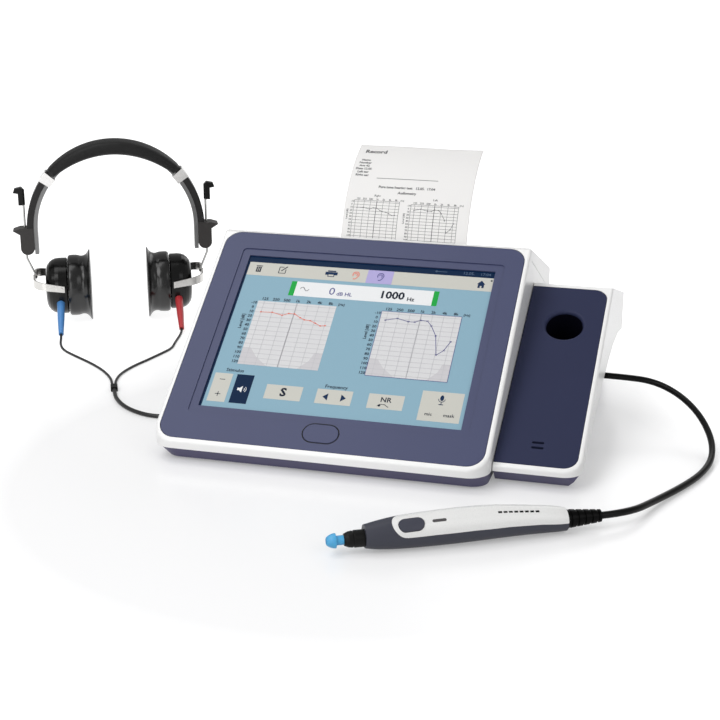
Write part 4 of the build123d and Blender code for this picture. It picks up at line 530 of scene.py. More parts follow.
metal("bright_steel", (0.72, 0.71, 0.70), 0.20)
metal("fork_steel", (0.60, 0.59, 0.57), 0.30, lines=(1, 1, 0.05))
metal("stem_steel", (0.44, 0.44, 0.43), 0.26, lines=(1, 1, 0.05))
metal("spring_steel", (0.19, 0.19, 0.19), 0.34, lines=(0.08, 0.08, 0.08))
metal("pressed_sheet", (0.50, 0.51, 0.53), 0.38, lines=(0.05, 1, 1))
metal("pump_metal", (0.22, 0.22, 0.24), 0.45)

# %% [markdown]
# ### Boards and paper
#
# The circuit boards are green lacquer over copper lanes, drawn with the Brick pattern, whose
# mortar makes the lanes. Thermal paper is nearly white with fine fibres and a faint sheen.

# %% Board and paper
board = Finish("board_lacquer", (0.03, 0.16, 0.08), 0.35, Coat_Weight=0.3)
lanes = board.node(
    "TexBrick",
    {"Vector": board.place(), "Scale": 90.0, "Mortar Size": 0.03},
    output=1,
)
board.tint(lanes * 0.7 + board.noise(8.0) * 0.3, 0.45)
board.relief(lanes, 0.3, 0.05)
finishes["board_lacquer"] = board.material

paper = Finish("thermal_paper", (0.80, 0.79, 0.78), 0.55, Sheen_Weight=0.05)
fibres = paper.noise(0.25, 4.0, stretch=(1, 0.3, 1))
paper.tint(fibres, 0.02)
paper.relief(fibres, 0.25, 0.01)
finishes["thermal_paper"] = paper.material

# %% [markdown]
# ### Glass and the display
#
# The real touch glass is clear over a lit display. Here its face carries the lit picture as a
# set of thin flat shapes, so the glass itself needs only to be dark and polished behind them,
# as a screen that is off would look.

# %% Glass and display
plastic("touch_glass", (0.012, 0.020, 0.040), 0.06, grain=3.0, depth=0.0005,
        Coat_Weight=0.5, Coat_Roughness=0.03)
plastic("display_back", (0.25, 0.27, 0.30), 0.4)
plastic("print_ink", (0.045, 0.045, 0.05), 0.6, grain=0.4, depth=0.005)


def lit(name, colour, glow=0.06):
    """A colour of the lit picture: a glossy face that also gives a little light."""
    made = Finish(name, colour, 0.25, Specular_IOR_Level=0.06)
    cells = made.noise(0.6, 1.0)
    made.tint(cells, 0.015)
    made.surface.inputs["Emission Color"].default_value = (*colour, 1)
    made.surface.inputs["Emission Strength"].default_value = glow
    finishes[name] = made.material


lit("screen_sky", (0.235, 0.385, 0.475))
lit("screen_bar", (0.53, 0.525, 0.48))
lit("screen_night", (0.0, 0.014, 0.050))
lit("screen_dim", (0.075, 0.115, 0.19))
lit("screen_chart", (0.62, 0.62, 0.63))
lit("screen_shade", (0.54, 0.53, 0.55))
lit("screen_grid", (0.49, 0.49, 0.51))
lit("screen_text", (0.015, 0.020, 0.035))
lit("screen_green", (0.015, 0.34, 0.055))
lit("screen_red", (0.75, 0.18, 0.13))
lit("screen_blue", (0.09, 0.09, 0.25))
lit("screen_ink", (0.008, 0.026, 0.075))
lit("screen_lilac", (0.40, 0.36, 0.62))
lit("screen_white", (0.74, 0.75, 0.76))
print("finishes", len(finishes))

# %% [markdown]
# ### Finishes for the CAD nodes
#
# Nodes whose shape is right keep it and only change their finish. The list reads as a parts
# list: one finish and the nodes that it covers.

# %% Dress the CAD nodes
COVERS = {
    "tray_navy": ["base_tray", "cradle_base", "lid_pin"],
    "panel_navy": ["front_bezel", "home_button"],
    "cover_navy": ["cradle_cover"],
    "well_painted_shade": ["probe_well"],
    "case_white": ["main_shell", "cradle_shell", "printer_lid", "rear_cover"],
    "probe_white": ["probe_upper_shell"],
    "probe_navy": ["probe_lower_shell"],
    "key_navy": ["probe_button"],
    "matt_black": ["rear_sockets", "power_switch", "button_switch", "platen_roller",
                   "printer_frame", "probe_nozzle", "probe_collar", "jack_plug", "coil_tie",
                   "lead_joint", "cable_gland"],
    "slider_black": ["slider_left", "slider_right"],
    "strap_black": ["headband_strap"],
    "cup_black": ["earcup_left", "earcup_right"],
    "plug_blue": ["lead_plug_left"],
    "plug_red": ["lead_plug_right"],
    "lamp_window": ["probe_lamp"],
    "boot_rubber": ["probe_boot"],
    "foot_rubber": ["rubber_feet"],
    "cable_jacket": ["probe_cable"],
    "lead_jacket": ["left_lead", "right_lead", "trunk_lead", "lead_coil", "tail_lead"],
    "cushion_rubber": ["ear_cushion_left", "ear_cushion_right"],
    "pad_leatherette": ["headband_pad"],
    "tip_silicone": ["ear_tip"],
    "bright_steel": ["band_clamps", "case_screws"],
    "stem_steel": ["stem_left", "stem_right"],
    "fork_steel": ["yoke_left", "yoke_right"],
    "spring_steel": ["headband_spring"],
    "pressed_sheet": ["display_frame"],
    "pump_metal": ["air_pump"],
    "board_lacquer": ["main_board", "probe_board"],
    "thermal_paper": ["paper_strip", "paper_roll"],
    "touch_glass": ["touch_glass"],
    "display_back": ["lcd_module"],
}


def dress(piece, finish):
    """Gives a whole piece one finish."""
    if not piece.material_slots:
        piece.data.materials.append(finishes[finish])
    for slot in piece.material_slots:
        slot.material = finishes[finish]


for finish, names in COVERS.items():
    for name in names:
        dress(nodes[name], finish)
dress(cable, "cable_jacket")
dress(lead, "lead_jacket")
for pieces in thin_leads.values():
    for piece in pieces:
        dress(piece, "lead_jacket")
bare = sorted(set(nodes) - {n for names in COVERS.values() for n in names})
print("dressed", sum(len(n) for n in COVERS.values()), "nodes; not dressed:", bare)

# %% [markdown]
# ## Rows of small things
#
# The charts' rulings and the marks on the probe are one small bar repeated at a steady step. A
# Geometry Nodes tree makes them: a mesh line gives the places, a cuboid is set on each, and the
# copies are made real at the end. The tree has named inputs, and the modifier is filled in by each
# socket's identifier before the object is first looked at.

# %% The row tree
def row_tree():
    tree = bpy.data.node_groups.new("row_of_bars", "GeometryNodeTree")
    face = tree.interface
    face.new_socket("Geometry", in_out="OUTPUT", socket_type="NodeSocketGeometry")
    for label, kind in (
        ("Count", "NodeSocketInt"), ("Start", "NodeSocketVector"), ("Step", "NodeSocketVector"),
        ("Bar size", "NodeSocketVector"), ("Finish", "NodeSocketMaterial"),
    ):
        face.new_socket(label, in_out="INPUT", socket_type=kind)
    made = {}
    for key, kind in (
        ("given", "NodeGroupInput"), ("line", "GeometryNodeMeshLine"),
        ("bar", "GeometryNodeMeshCube"), ("copies", "GeometryNodeInstanceOnPoints"),
        ("real", "GeometryNodeRealizeInstances"), ("finish", "GeometryNodeSetMaterial"),
        ("result", "NodeGroupOutput"),
    ):
        made[key] = tree.nodes.new(kind)
    link = tree.links.new
    given = made["given"].outputs
    link(given["Count"], made["line"].inputs["Count"])
    link(given["Start"], made["line"].inputs["Start Location"])
    link(given["Step"], made["line"].inputs["Offset"])
    link(given["Bar size"], made["bar"].inputs["Size"])
    link(made["line"].outputs[0], made["copies"].inputs["Points"])
    link(made["bar"].outputs[0], made["copies"].inputs["Instance"])
    link(made["copies"].outputs[0], made["real"].inputs[0])
    link(made["real"].outputs[0], made["finish"].inputs["Geometry"])
    link(given["Finish"], made["finish"].inputs["Material"])
    link(made["finish"].outputs[0], made["result"].inputs[0])
    return tree


ROW_TREE = row_tree()


def row(name, count, start, step, size, finish):
    """A row of bars as a plain mesh; start, step and size are in millimetres."""
    holder = bpy.data.objects.new(name + "_rule", bpy.data.meshes.new(name + "_rule"))
    bpy.context.scene.collection.objects.link(holder)
    modifier = holder.modifiers.new("row", "NODES")
    modifier.node_group = ROW_TREE
    values = {
        "Count": count, "Start": mm(*start), "Step": mm(*step), "Bar size": mm(*size),
        "Finish": finishes[finish],
    }
    for item in ROW_TREE.interface.items_tree:
        if item.in_out == "INPUT":
            modifier[item.identifier] = values[item.name]
    made = plain_mesh(holder, name)
    bpy.data.objects.remove(holder)
    return made


# %% [markdown]
# ## Flat artwork
#
# The screen's picture and the print on the paper are flat shapes in thin layers. A sheet of
# artwork collects polygons in its own two directions, in millimetres, and is then laid on a
# surface by a function that gives each flat point its place. The screen lays it on a plane, and
# the paper lays it round an arc.

# %% Artwork
class Artwork:
    """Flat shapes with finishes and layers, laid on a surface at the end."""

    def __init__(self):
        self.points, self.faces, self.slots, self.order = [], [], [], []

    def add(self, points, faces, finish, layer):
        if finish not in self.order:
            self.order.append(finish)
        base = len(self.points)
        self.points += [(x, y, layer) for x, y in points]
        self.faces += [tuple(base + i for i in face) for face in faces]
        self.slots += [self.order.index(finish)] * len(faces)

    def shape(self, points, finish, layer):
        self.add(points, [tuple(range(len(points)))], finish, layer)

    def box(self, x0, y0, x1, y1, finish, layer=1, step=None):
        """A rectangle, cut into pieces no longer than a step where it lies on a curve."""
        across = 1 if step is None else math.ceil((x1 - x0) / step)
        along = 1 if step is None else math.ceil((y1 - y0) / step)
        xs = [x0 + (x1 - x0) * i / across for i in range(across + 1)]
        ys = [y0 + (y1 - y0) * i / along for i in range(along + 1)]
        for left, right in zip(xs, xs[1:]):
            for low, high in zip(ys, ys[1:]):
                corners = [(left, low), (right, low), (right, high), (left, high)]
                self.shape(corners, finish, layer)

    def boxes(self, *rows):
        """Rectangles, each given as its two corners, finish and layer."""
        for box in rows:
            self.box(*box)

    def ruling(self, count, start, step, size, finish, layer=3, cut=None):
        """A row of equal bars, made by the row tree and taken from its upper faces."""
        bars = row("ruling", count, (*start, 0), (*step, 0), (*size, 0.1), finish)
        for face in bars.data.polygons:
            if face.normal.z > 0.5:
                corners = [bars.data.vertices[i].co / MM for i in face.vertices]
                xs, ys = [c.x for c in corners], [c.y for c in corners]
                self.box(min(xs), min(ys), max(xs), max(ys), finish, layer, cut)
        bpy.data.objects.remove(bars)

    def stroke(self, points, width, finish, layer=3):
        """A drawn line: one quad for each of its runs."""
        for (ax, ay), (bx, by) in zip(points, points[1:]):
            run = math.hypot(bx - ax, by - ay) or 1.0
            nx, ny = -(by - ay) / run * width / 2, (bx - ax) / run * width / 2
            corners = [
                (ax - nx, ay - ny), (bx - nx, by - ny), (bx + nx, by + ny), (ax + nx, ay + ny),
            ]
            self.shape(corners, finish, layer)

    def disc(self, x, y, radius, finish, layer=3, sides=16, squash=1.0):
        turns = [2 * math.pi * i / sides for i in range(sides)]
        ring = [(x + radius * math.cos(t), y + radius * squash * math.sin(t)) for t in turns]
        self.shape(ring, finish, layer)

    def text(self, words, x, y, height, finish, layer=3, turned=False, bold=0.015):
        """Words in the built-in face, centred on a place and thickened by a share of height."""
        curve = bpy.data.curves.new("words", "FONT")
        curve.body, curve.align_x, curve.align_y = words, "CENTER", "CENTER"
        curve.size, curve.offset, curve.resolution_u = height, bold * height, 2
        writing = bpy.data.objects.new("words", curve)
        bpy.context.scene.collection.objects.link(writing)
        flat = plain_mesh(writing, "words")
        places = [(v.co.x, v.co.y) for v in flat.data.vertices]
        if turned:
            places = [(-b, a) for a, b in places]
        places = [(x + a, y + b) for a, b in places]
        self.add(places, [tuple(p.vertices) for p in flat.data.polygons], finish, layer)
        for leftover in (writing, flat):
            bpy.data.objects.remove(leftover)

    def lay(self, name, placed):
        """The artwork as one piece; placed turns (x, y, layer) into a point in metres."""
        piece = mesh_piece(name, [placed(*p) for p in self.points], self.faces, flat=True)
        for finish in self.order:
            piece.data.materials.append(finishes[finish])
        piece.data.polygons.foreach_set("material_index", self.slots)
        return piece


# %% [markdown]
# ### A chart of hearing thresholds
#
# Both the screen and the print show the same kind of chart: a grid with the pitch across and
# the level down, a curve with a mark at each tested pitch, and pale corners that no tone
# reaches. One function draws it for both, from the colours and sizes that it is given.

# %% Chart
PITCHES = ("125", "250", "500", "1k", "2k", "4k", "8k")
LEVELS = [10 * i - 10 for i in range(14)]


def chart(art, left, low, right, high, look, curve, mark, step=None):
    """Draws a chart into an artwork; look names its face, grid, text and curve finishes.

    The print gives no face: it leaves the paper bare, without the pale corners."""
    face, grid, words, ink = look
    wide, tall = right - left, high - low
    if face:
        art.box(left, low, right, high, face, 1, step)
        for sign, edge, reach in ((1, left, 0.36), (-1, right, 0.26)):
            art.shape([
                (edge, low), (edge + sign * wide * reach, low),
                (edge + sign * wide * reach * 0.55, low + tall * 0.13),
                (edge + sign * wide * 0.10, low + tall * 0.26), (edge, low + tall * 0.26),
            ][::sign], "screen_shade", 2)
    line = wide * 0.006
    top, gap = high - tall * 0.035, tall * 0.93 / (len(LEVELS) - 1)
    art.ruling(len(LEVELS), ((left + right) / 2, top), (0, -gap), (wide, line), grid, cut=step)
    for i, level in enumerate(LEVELS):
        art.text(str(level), left - wide * 0.045, top - gap * i, wide * 0.056, words)
    first, pitch = left + wide * 0.08, wide * 0.14
    art.ruling(len(PITCHES), (first, (low + high) / 2), (pitch, 0), (line, tall), grid, cut=step)
    middle = first + PITCHES.index("1k") * pitch
    art.box(middle - line, low, middle + line, high, grid, 3, step)
    for i, label in enumerate(PITCHES):
        art.text(label, first + pitch * i, high + tall * 0.035, wide * 0.058, words)
    art.text("[Hz]", right + wide * 0.055, high + tall * 0.03, wide * 0.045, words)
    side_x, side_y = left - wide * 0.125, low + tall * 0.66
    art.text("Level [dB]", side_x, side_y, wide * 0.055, words, turned=True)
    places = [(left + wide * a, low + tall * b) for a, b in curve]
    art.stroke(places, line * 1.3, ink, 4)
    arm = wide * 0.011
    for x, y in places:
        if mark == "ring":
            art.disc(x, y, arm, ink, 4, sides=10)
        else:
            art.stroke([(x - arm, y - arm), (x + arm, y + arm)], line, ink, 4)
            art.stroke([(x - arm, y + arm), (x + arm, y - arm)], line, ink, 4)


RED_CURVE = [
    (0.078, 0.823), (0.222, 0.829), (0.358, 0.795), (0.434, 0.83), (0.508, 0.83), (0.594, 0.777),
    (0.653, 0.75), (0.727, 0.744), (0.797, 0.712), (0.869, 0.675), (0.928, 0.685),
]
BLUE_CURVE = [
    (0.072, 0.86), (0.216, 0.90), (0.36, 0.863), (0.44, 0.863), (0.506, 0.898), (0.593, 0.893),
    (0.653, 0.825), (0.735, 0.677), (0.794, 0.388), (0.874, 0.466), (0.932, 0.607),
]

# %% [markdown]
# ### The lit picture
#
# Every part of the screen's picture has the place it has on the real one, found by carrying the
# photograph's corners onto the panel. The icons are plain ones of their kinds.

# %% Screen picture
art = Artwork()
HALF_W, HALF_H = 211.2 / 2, 158.4 / 2
BAR_LOW, BAR_HIGH, TONE_LOW, TONE_HIGH, EDGE = 58.6, 72.8, 39.5, 55, 1.9
art.boxes(
    (-HALF_W, -HALF_H, HALF_W, HALF_H, "screen_sky", 0),
    (-HALF_W, BAR_HIGH, HALF_W, HALF_H, "screen_night", 1),
    (-HALF_W, BAR_LOW, HALF_W, BAR_HIGH, "screen_bar", 1),
    (0, BAR_LOW, 22, BAR_HIGH, "screen_lilac", 2),
    # The night-coloured strip down the left edge is painted shade: the shaded gap at the bezel's
    # recess wall.
    (-HALF_W, -HALF_H, EDGE - HALF_W, HALF_H, "screen_night", 2),
    (-62.1, TONE_LOW, -57.5, TONE_HIGH, "screen_green", 1),
    (59.2, TONE_LOW, 63.6, TONE_HIGH, "screen_green", 1),
    (-57.5, TONE_LOW, 59.2, TONE_HIGH, "screen_white", 1),
)
wave = [(-53.2 + 7.6 * i / 16, 47.3 + 1.9 * math.sin(2 * math.pi * i / 16)) for i in range(17)]
art.stroke(wave, 0.5, "screen_text")
art.text("0", -25.7, 46.6, 11.0, "screen_blue", bold=0.0)
art.text("dB HL", -14.8, 44.6, 5.2, "screen_blue")
art.text("1000", 25.2, 47.0, 10.6, "screen_text", bold=0.03)
art.text("Hz", 41.2, 44.4, 5.4, "screen_text", bold=0.02)
for label, x in (("17:04", 98), ("12.05.", 84)):
    art.text(label, x, 76.1, 4.0, "screen_dim")
art.stroke([(56, 76.2), (66, 76.2)], 0.5, "screen_dim")
art.disc(57, 76.2, 1.0, "screen_dim")

# %% [markdown]
# The keys are plain boxes along the picture's lower edge, each with a word, a sign or a small
# drawing on it. They come before the icons, which reuse the same few kinds of shape.

# %% Keys on the screen
art.boxes(
    (-101, -73.2, -86, -45.2, "screen_bar", 1), (-82.4, -73.2, -68, -45, "screen_night", 1),
    (-55.6, -66, -25.6, -52, "screen_bar", 1), (-13.8, -66, 15.2, -52, "screen_bar", 1),
    (28.2, -66, 56.6, -52, "screen_bar", 1), (69.5, -73, 102.4, -44.8, "screen_bar", 1),
    (-95.8, -51.6, -91.2, -51.0, "screen_text", 2), (-95.8, -66.0, -91.2, -65.4, "screen_text", 2),
    (-93.8, -68.0, -93.2, -63.4, "screen_text", 2),
)
art.text("S", -40.8, -59.0, 11.0, "screen_text", 2, bold=0.035)
art.text("NR", 42.4, -57.3, 6.4, "screen_text", 2, bold=0.02)
art.stroke([(36.5, -63.5), (38.5, -61.6), (42, -61.6), (45.5, -64)], 0.5, "screen_text")
art.disc(38, -62.8, 1.1, "screen_text")
art.shape([(-8.4, -59.2), (-4.2, -62.6), (-4.2, -55.8)], "screen_ink", 2)
art.shape([(10.6, -59.2), (6.4, -55.8), (6.4, -62.6)], "screen_ink", 2)
for words, x, y, height in (
    ("Frequency", 0.6, -49.2, 4.4), ("Stimulus", -85.4, -41.6, 4.4), ("mic", 77.6, -66.6, 4.2),
    ("mask", 93.6, -66.6, 4.2),
):
    art.text(words, x, y, height, "screen_text", 2)
print("faces of the screen so far", len(art.faces))

# %% [markdown]
# The icons are built from strokes, discs and small boxes: a bin, a pencil on a sheet, a printer,
# two ears, a house, a loudspeaker and a microphone.

# %% Icons
def arc(x, y, wide, tall, angles):
    """Points on an ellipse's arc round a centre; the angles are in degrees."""
    turns = [math.radians(a) for a in angles]
    return [(x + wide * math.cos(t), y + tall * math.sin(t)) for t in turns]


def ear(x, y, finish):
    """The outline of an ear from two arcs and its lobe."""
    outer = arc(x, y + 1.0, 2.6, 3.0, range(-20, 215, 18))
    inner = arc(x, y + 1.0, 1.2, 1.5, range(-60, 200, 26))
    lobe = [
        outer[0], (x + 1.8, y - 1.4), (x + 0.6, y - 3.2), (x - 0.8, y - 4.0), (x - 1.6, y - 3.2),
    ]
    for points in (outer, inner, lobe):
        art.stroke(points, 0.75, finish, 4)


ear(-9.6, 65.6, "screen_red")
ear(11.6, 65.8, "screen_blue")
art.boxes(
    (-96.6, 62.4, -92.2, 68.0, "screen_text", 2), (-97.2, 68.6, -91.6, 69.4, "screen_text", 2),
    (-95.4, 63.4, -94.9, 67.2, "screen_bar", 3), (-93.9, 63.4, -93.4, 67.2, "screen_bar", 3),
)
sheet = [(-70.6, 66.8), (-70.6, 62.6), (-76.4, 62.6), (-76.4, 69.2), (-72.6, 69.2)]
art.stroke(sheet, 0.6, "screen_text")
art.stroke([(-74.4, 65.0), (-69.8, 70.0)], 0.9, "screen_text")
art.boxes(
    (-36.0, 64.4, -25.4, 67.6, "screen_ink", 2), (-34.2, 67.9, -27.2, 69.2, "screen_ink", 2),
    (-33.6, 62.4, -27.8, 65.2, "screen_ink", 3), (-32.9, 63.0, -28.5, 64.8, "screen_bar", 4),
)
art.shape([(92.4, 65.6), (99.4, 65.6), (95.9, 69.6)], "screen_ink", 3)
art.boxes(
    (93.4, 61.8, 95.2, 65.7, "screen_ink", 3), (96.6, 61.8, 98.4, 65.7, "screen_ink", 3),
    (95.2, 63.9, 96.6, 65.7, "screen_ink", 3),
)
art.disc(103.9, 70.0, 0.8, "screen_text")
art.shape([(-78.8, -60.6), (-77.0, -60.6), (-74.8, -62.6), (-74.8, -56.2), (-77.0, -58.2),
           (-78.8, -58.2)], "screen_white", 2)
for reach in (1.6, 3.0):
    art.stroke(arc(-74.4, -59.4, reach, reach, range(-50, 51, 20)), 0.45, "screen_white")
art.disc(85.6, -50.6, 1.5, "screen_ink", squash=1.8)
art.stroke(arc(85.6, -51.6, 2.6, 2.8, range(180, 361, 20)), 0.5, "screen_ink")
art.boxes(
    (85.3, -56.6, 85.9, -54.2, "screen_ink", 3), (83.8, -57.2, 87.4, -56.5, "screen_ink", 3),
)
SCREEN_LOOK = ("screen_chart", "screen_grid", "screen_text")
chart(art, -85.6, -34.8, -18.2, 31.5, (*SCREEN_LOOK, "screen_red"), RED_CURVE, "ring")
chart(art, 20.4, -35.3, 86.5, 30.4, (*SCREEN_LOOK, "screen_blue"), BLUE_CURVE, "cross")
rim = [(20.4, -35.3), (86.5, -35.3), (86.5, 30.4), (20.4, 30.4), (20.4, -35.3)]
art.stroke(rim, 0.4, "screen_blue", 4)

# %% [markdown]
# The picture lies on the glass, a few hundredths of a millimetre apart in its layers. The
# glass's own top is measured from its node, so the two can't drift apart.

# %% Lay the picture on the glass
SLOPE = math.radians(34.7)
ACROSS, UPHILL = Vector((1, 0, 0)), Vector((0, math.cos(SLOPE), math.sin(SLOPE)))
OUT_OF_PANEL = ACROSS.cross(UPHILL)
FIRST_LIFT, LAYER_LIFT = 0.04, 0.05
glass_top = max(OUT_OF_PANEL.dot(v.co) for v in nodes["touch_glass"].data.vertices)
SCREEN_PLACE = (1.8, -54.66, 79.95)
screen_centre = mm(*SCREEN_PLACE)
screen_centre += OUT_OF_PANEL * (glass_top - OUT_OF_PANEL.dot(screen_centre))


def on_panel(centre, x, y, lift):
    """The place x, y and lift millimetres from a centre, along the sloped panel and off it."""
    return centre + ACROSS * (x * MM) + UPHILL * (y * MM) + OUT_OF_PANEL * (lift * MM)


def on_screen(x, y, layer):
    return on_panel(screen_centre, x, y, FIRST_LIFT + LAYER_LIFT * layer)


screen_picture = art.lay("screen_picture", on_screen)
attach(screen_picture, "unit")
print("screen picture", len(screen_picture.data.polygons), "faces, centre",
      tuple(round(v * 1000, 2) for v in screen_centre))

# %% [markdown]
# ### Painted shade round the home button
#
# The dark gap round the home button is painted shade: a fine dark line, artwork again, laid on the
# bezel's face just outside the gap. Its centre and height are measured from the nodes.

# %% Painted shade round the home button
BUTTON_LONG, BUTTON_WIDE, LINE_OUT, LINE_WIDE = 28.0, 16.5, 0.65, 0.6
corners = [v.co for v in nodes["home_button"].data.vertices]
spans = [[axis.dot(c) for c in corners] for axis in (ACROSS, UPHILL)]
bezel_face = max(OUT_OF_PANEL.dot(v.co) for v in nodes["front_bezel"].data.vertices)
button_centre = OUT_OF_PANEL * bezel_face
for axis, span in zip((ACROSS, UPHILL), spans):
    button_centre += axis * ((min(span) + max(span)) / 2)
round_end, straight = BUTTON_WIDE / 2 + LINE_OUT, (BUTTON_LONG - BUTTON_WIDE) / 2
right_end = arc(straight, 0, round_end, round_end, range(-90, 91, 10))
loop = right_end + [(-x, -y) for x, y in right_end]
outline = Artwork()
# This stroke is painted shade in the gap, drawn in the stops' black.
outline.stroke(loop + loop[:1], LINE_WIDE, "stop_black")
button_gap_shade = outline.lay(
    "button_gap_shade", lambda x, y, layer: on_panel(button_centre, x, y, FIRST_LIFT)
)
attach(button_gap_shade, "unit")
print("line round the button", tuple(round(v * 1000, 2) for v in button_centre))

# %% [markdown]
# ## The printed strip
#
# Thermal paper comes off its roll with a curl, so the strip leans back along an arc. It is a
# closed sheet a quarter of a millimetre thick, with a slight waviness and the fine teeth that
# the printer's cutter leaves along its end. One function gives the surface, and both the paper
# and its print use it, so the ink follows every wave.

# %% Paper
PAPER_X, PAPER_HALF, HALF_THICK = 20.4, 55.0, 0.12
ARC_Y, ARC_Z, ARC_RADIUS, ARC_START = 148.8, 104.9, 105.5, 16.0
ARC_END = 72.0
PAPER_RUN = ARC_RADIUS * math.radians(ARC_END - ARC_START)
RIPPLE, FLARE, TOOTH = 0.35, 0.5, 0.3


def on_paper(x, run, lift=0.0):
    """The paper's front face: x across from its middle, run up from where it leaves the slot."""
    turned = math.radians(ARC_START) + max(run, 0.0) / ARC_RADIUS
    free = min(max(run / PAPER_RUN, 0.0), 1.0)
    ripple = RIPPLE * math.sin(x / 17.0 + run / 40.0)
    wave = free * ripple + FLARE * free * (x / PAPER_HALF) ** 2
    radius = ARC_RADIUS + lift + wave
    y, z = ARC_Y - radius * math.cos(turned), ARC_Z + radius * math.sin(turned)
    if run < 0:
        y += run * math.sin(turned)
        z += run * math.cos(turned)
    return mm(PAPER_X + x, y, z)


def paper_sheet(columns=110, rows=70, below=15.5):
    points, faces = [], []
    for side in (1, -1):
        for r in range(rows + 1):
            run = -below + (PAPER_RUN + below) * r / rows
            for c in range(columns + 1):
                tooth = TOOTH if r == rows and c % 2 else 0.0
                x = PAPER_HALF * (2 * c / columns - 1)
                points.append(on_paper(x, run - tooth, side * HALF_THICK))
    width = columns + 1
    size = (rows + 1) * width
    for r in range(rows):
        for c in range(columns):
            a = r * width + c
            faces.append((a, a + 1, a + 1 + width, a + width))
            faces.append((size + a, size + a + width, size + a + 1 + width, size + a + 1))
    edge = [r * width for r in range(rows)] + [rows * width + c for c in range(columns)]
    edge += [r * width + columns for r in range(rows, 0, -1)] + list(range(columns, 0, -1))
    for a, b in zip(edge, edge[1:] + edge[:1]):
        faces.append((a, b, size + b, size + a))
    return mesh_piece("printed_strip", points, faces)


strip = paper_sheet()
dress(strip, "thermal_paper")
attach(strip, "unit")
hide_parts("paper_strip")
print("paper", len(strip.data.polygons), "faces, free run", round(PAPER_RUN, 1), "mm")

# %% [markdown]
# ### The print
#
# The record is headed by a plain title, has six short lines of entries, a rule, a heading with
# a date and the two charts of the screen again, whose lower ends are still in the printer. Long
# lines are cut every few millimetres, so that they follow the paper's curl and waves.

# %% Print
ink = Artwork()
CUT, INK_LIFT, INK_LAYER = 2.5, 0.03, 0.01
ink.text("Record", -38.5, 92.3, 6.6, "print_ink", bold=0.03)
entries = ("Name", "Number", "Age 42", "Date 12.05", "Left ear", "Right ear")
for i, words in enumerate(entries):
    ink.text(words, -45.0, 80.4 - 3.6 * i, 3.2, "print_ink", bold=0.03)
ink.box(-31.4, 59.5, 23.1, 60.0, "print_ink", step=CUT)
ink.text("Pure tone hearing test   12.05.  17:04", -3.0, 50.8, 3.3, "print_ink", bold=0.03)
ink.text("Audiometry", -2.0, 45.6, 3.3, "print_ink", bold=0.03)
ink.text("Right", -27.4, 42.0, 2.6, "print_ink")
ink.text("Left", 23.8, 40.6, 2.6, "print_ink")
INK = (None, "print_ink", "print_ink", "print_ink")
chart(ink, -46.9, -1.5, -7.0, 37.2, INK, RED_CURVE, "ring", CUT)
chart(ink, 3.4, -2.5, 44.8, 35.6, INK, BLUE_CURVE, "cross", CUT)
HALF_LINE = 0.15
for left, right, low, high in ((-46.9, -7.0, -1.5, 37.2), (3.4, 44.8, -2.5, 35.6)):
    for x in (left, right):
        ink.box(x - HALF_LINE, low, x + HALF_LINE, high, "print_ink", 1, step=CUT)
    ink.box(left, high - HALF_LINE, right, high + HALF_LINE, "print_ink", step=CUT)


def on_paper_face(x, y, layer):
    return on_paper(x, y, HALF_THICK + INK_LIFT + INK_LAYER * layer)


print_marks = ink.lay("paper_print", on_paper_face)
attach(print_marks, "unit")
print("print", len(print_marks.data.polygons), "faces")

# %% [markdown]
# ## Padded pieces
#
# The headband's pad is a foam crescent under a leatherette cover: deepest over the crown and
# drawn in at both ends, with rounded flanks and a cover that sits a little full between its
# seams. It is a loft of rounded sections along the band's arc. Cloth simulation would round it
# further, but the real pad is firm and keeps its moulded form, so its crown is put in directly.

# %% The headset's own place
HEADING = 24.6
BESIDE = direction(HEADING)
TOWARDS = direction(HEADING + 90)
HEAD_FOOT = mm(-318.1, 209.6, -2.0)


def on_headset(x, y, z):
    """A place in the headset's own lengths: x to its right cup, y to its back, z up."""
    return HEAD_FOOT + (BESIDE * x + TOWARDS * y + Vector((0, 0, z))) * MM


# %% Headband pad
PAD_ANGLE, PAD_TOP, PAD_BOTTOM, BAND_Z = 47.6, 89.4, 74.4, 95.3
PAD_THINNING, HALF_WIDE, PAD_NARROWING = 4.6, 15.6, 4.2
SEAM_DEPTH, SEAM_PLACE, SEAM_REACH = 0.27, 0.93, 0.05


def pad_section(angle, sides=40):
    """One rounded section of the pad at an angle from the crown, in degrees."""
    away = abs(angle) / PAD_ANGLE
    low = PAD_BOTTOM + PAD_THINNING * away ** 2.2
    close = 1 - max(away - 0.965, 0) / 0.035 * 0.12
    middle, tall = (PAD_TOP + low) / 2, (PAD_TOP - low) / 2 * close
    wide = (HALF_WIDE - PAD_NARROWING * away ** 3) * close
    t = math.radians(angle)
    ring = []
    for i in range(sides):
        turn = 2 * math.pi * i / sides
        c, s = math.cos(turn), math.sin(turn)
        y = wide * math.copysign(abs(c) ** 0.72, c)
        r = middle + tall * math.copysign(abs(s) ** 0.62, s)
        seam = SEAM_DEPTH * math.exp(-((abs(s) - SEAM_PLACE) / SEAM_REACH) ** 2)
        if abs(c) > 0.05:
            r -= math.copysign(seam, s)
        ring.append(on_headset(r * math.sin(t), y, BAND_Z + r * math.cos(t)))
    return ring


stations = 97
rings = [pad_section(-PAD_ANGLE + 2 * PAD_ANGLE * i / (stations - 1)) for i in range(stations)]
pad_points = [p for ring in rings for p in ring]
pad = mesh_piece("headband_cushion", pad_points, ring_faces(stations, len(rings[0])))
dress(pad, "pad_leatherette")
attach(pad, "headband")
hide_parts("headband_pad")
print("headband pad", len(pad.data.polygons), "faces")

# %% [markdown]
# ### Ear cushions
#
# Each cushion is a soft black moulding: a drum against the cup, a waist, and a thin lip that
# flares out to press round the ear. It is turned on a lathe from a smooth outline. The outline
# follows the CAD solid, and a curve through its points rounds it as the soft rubber is.

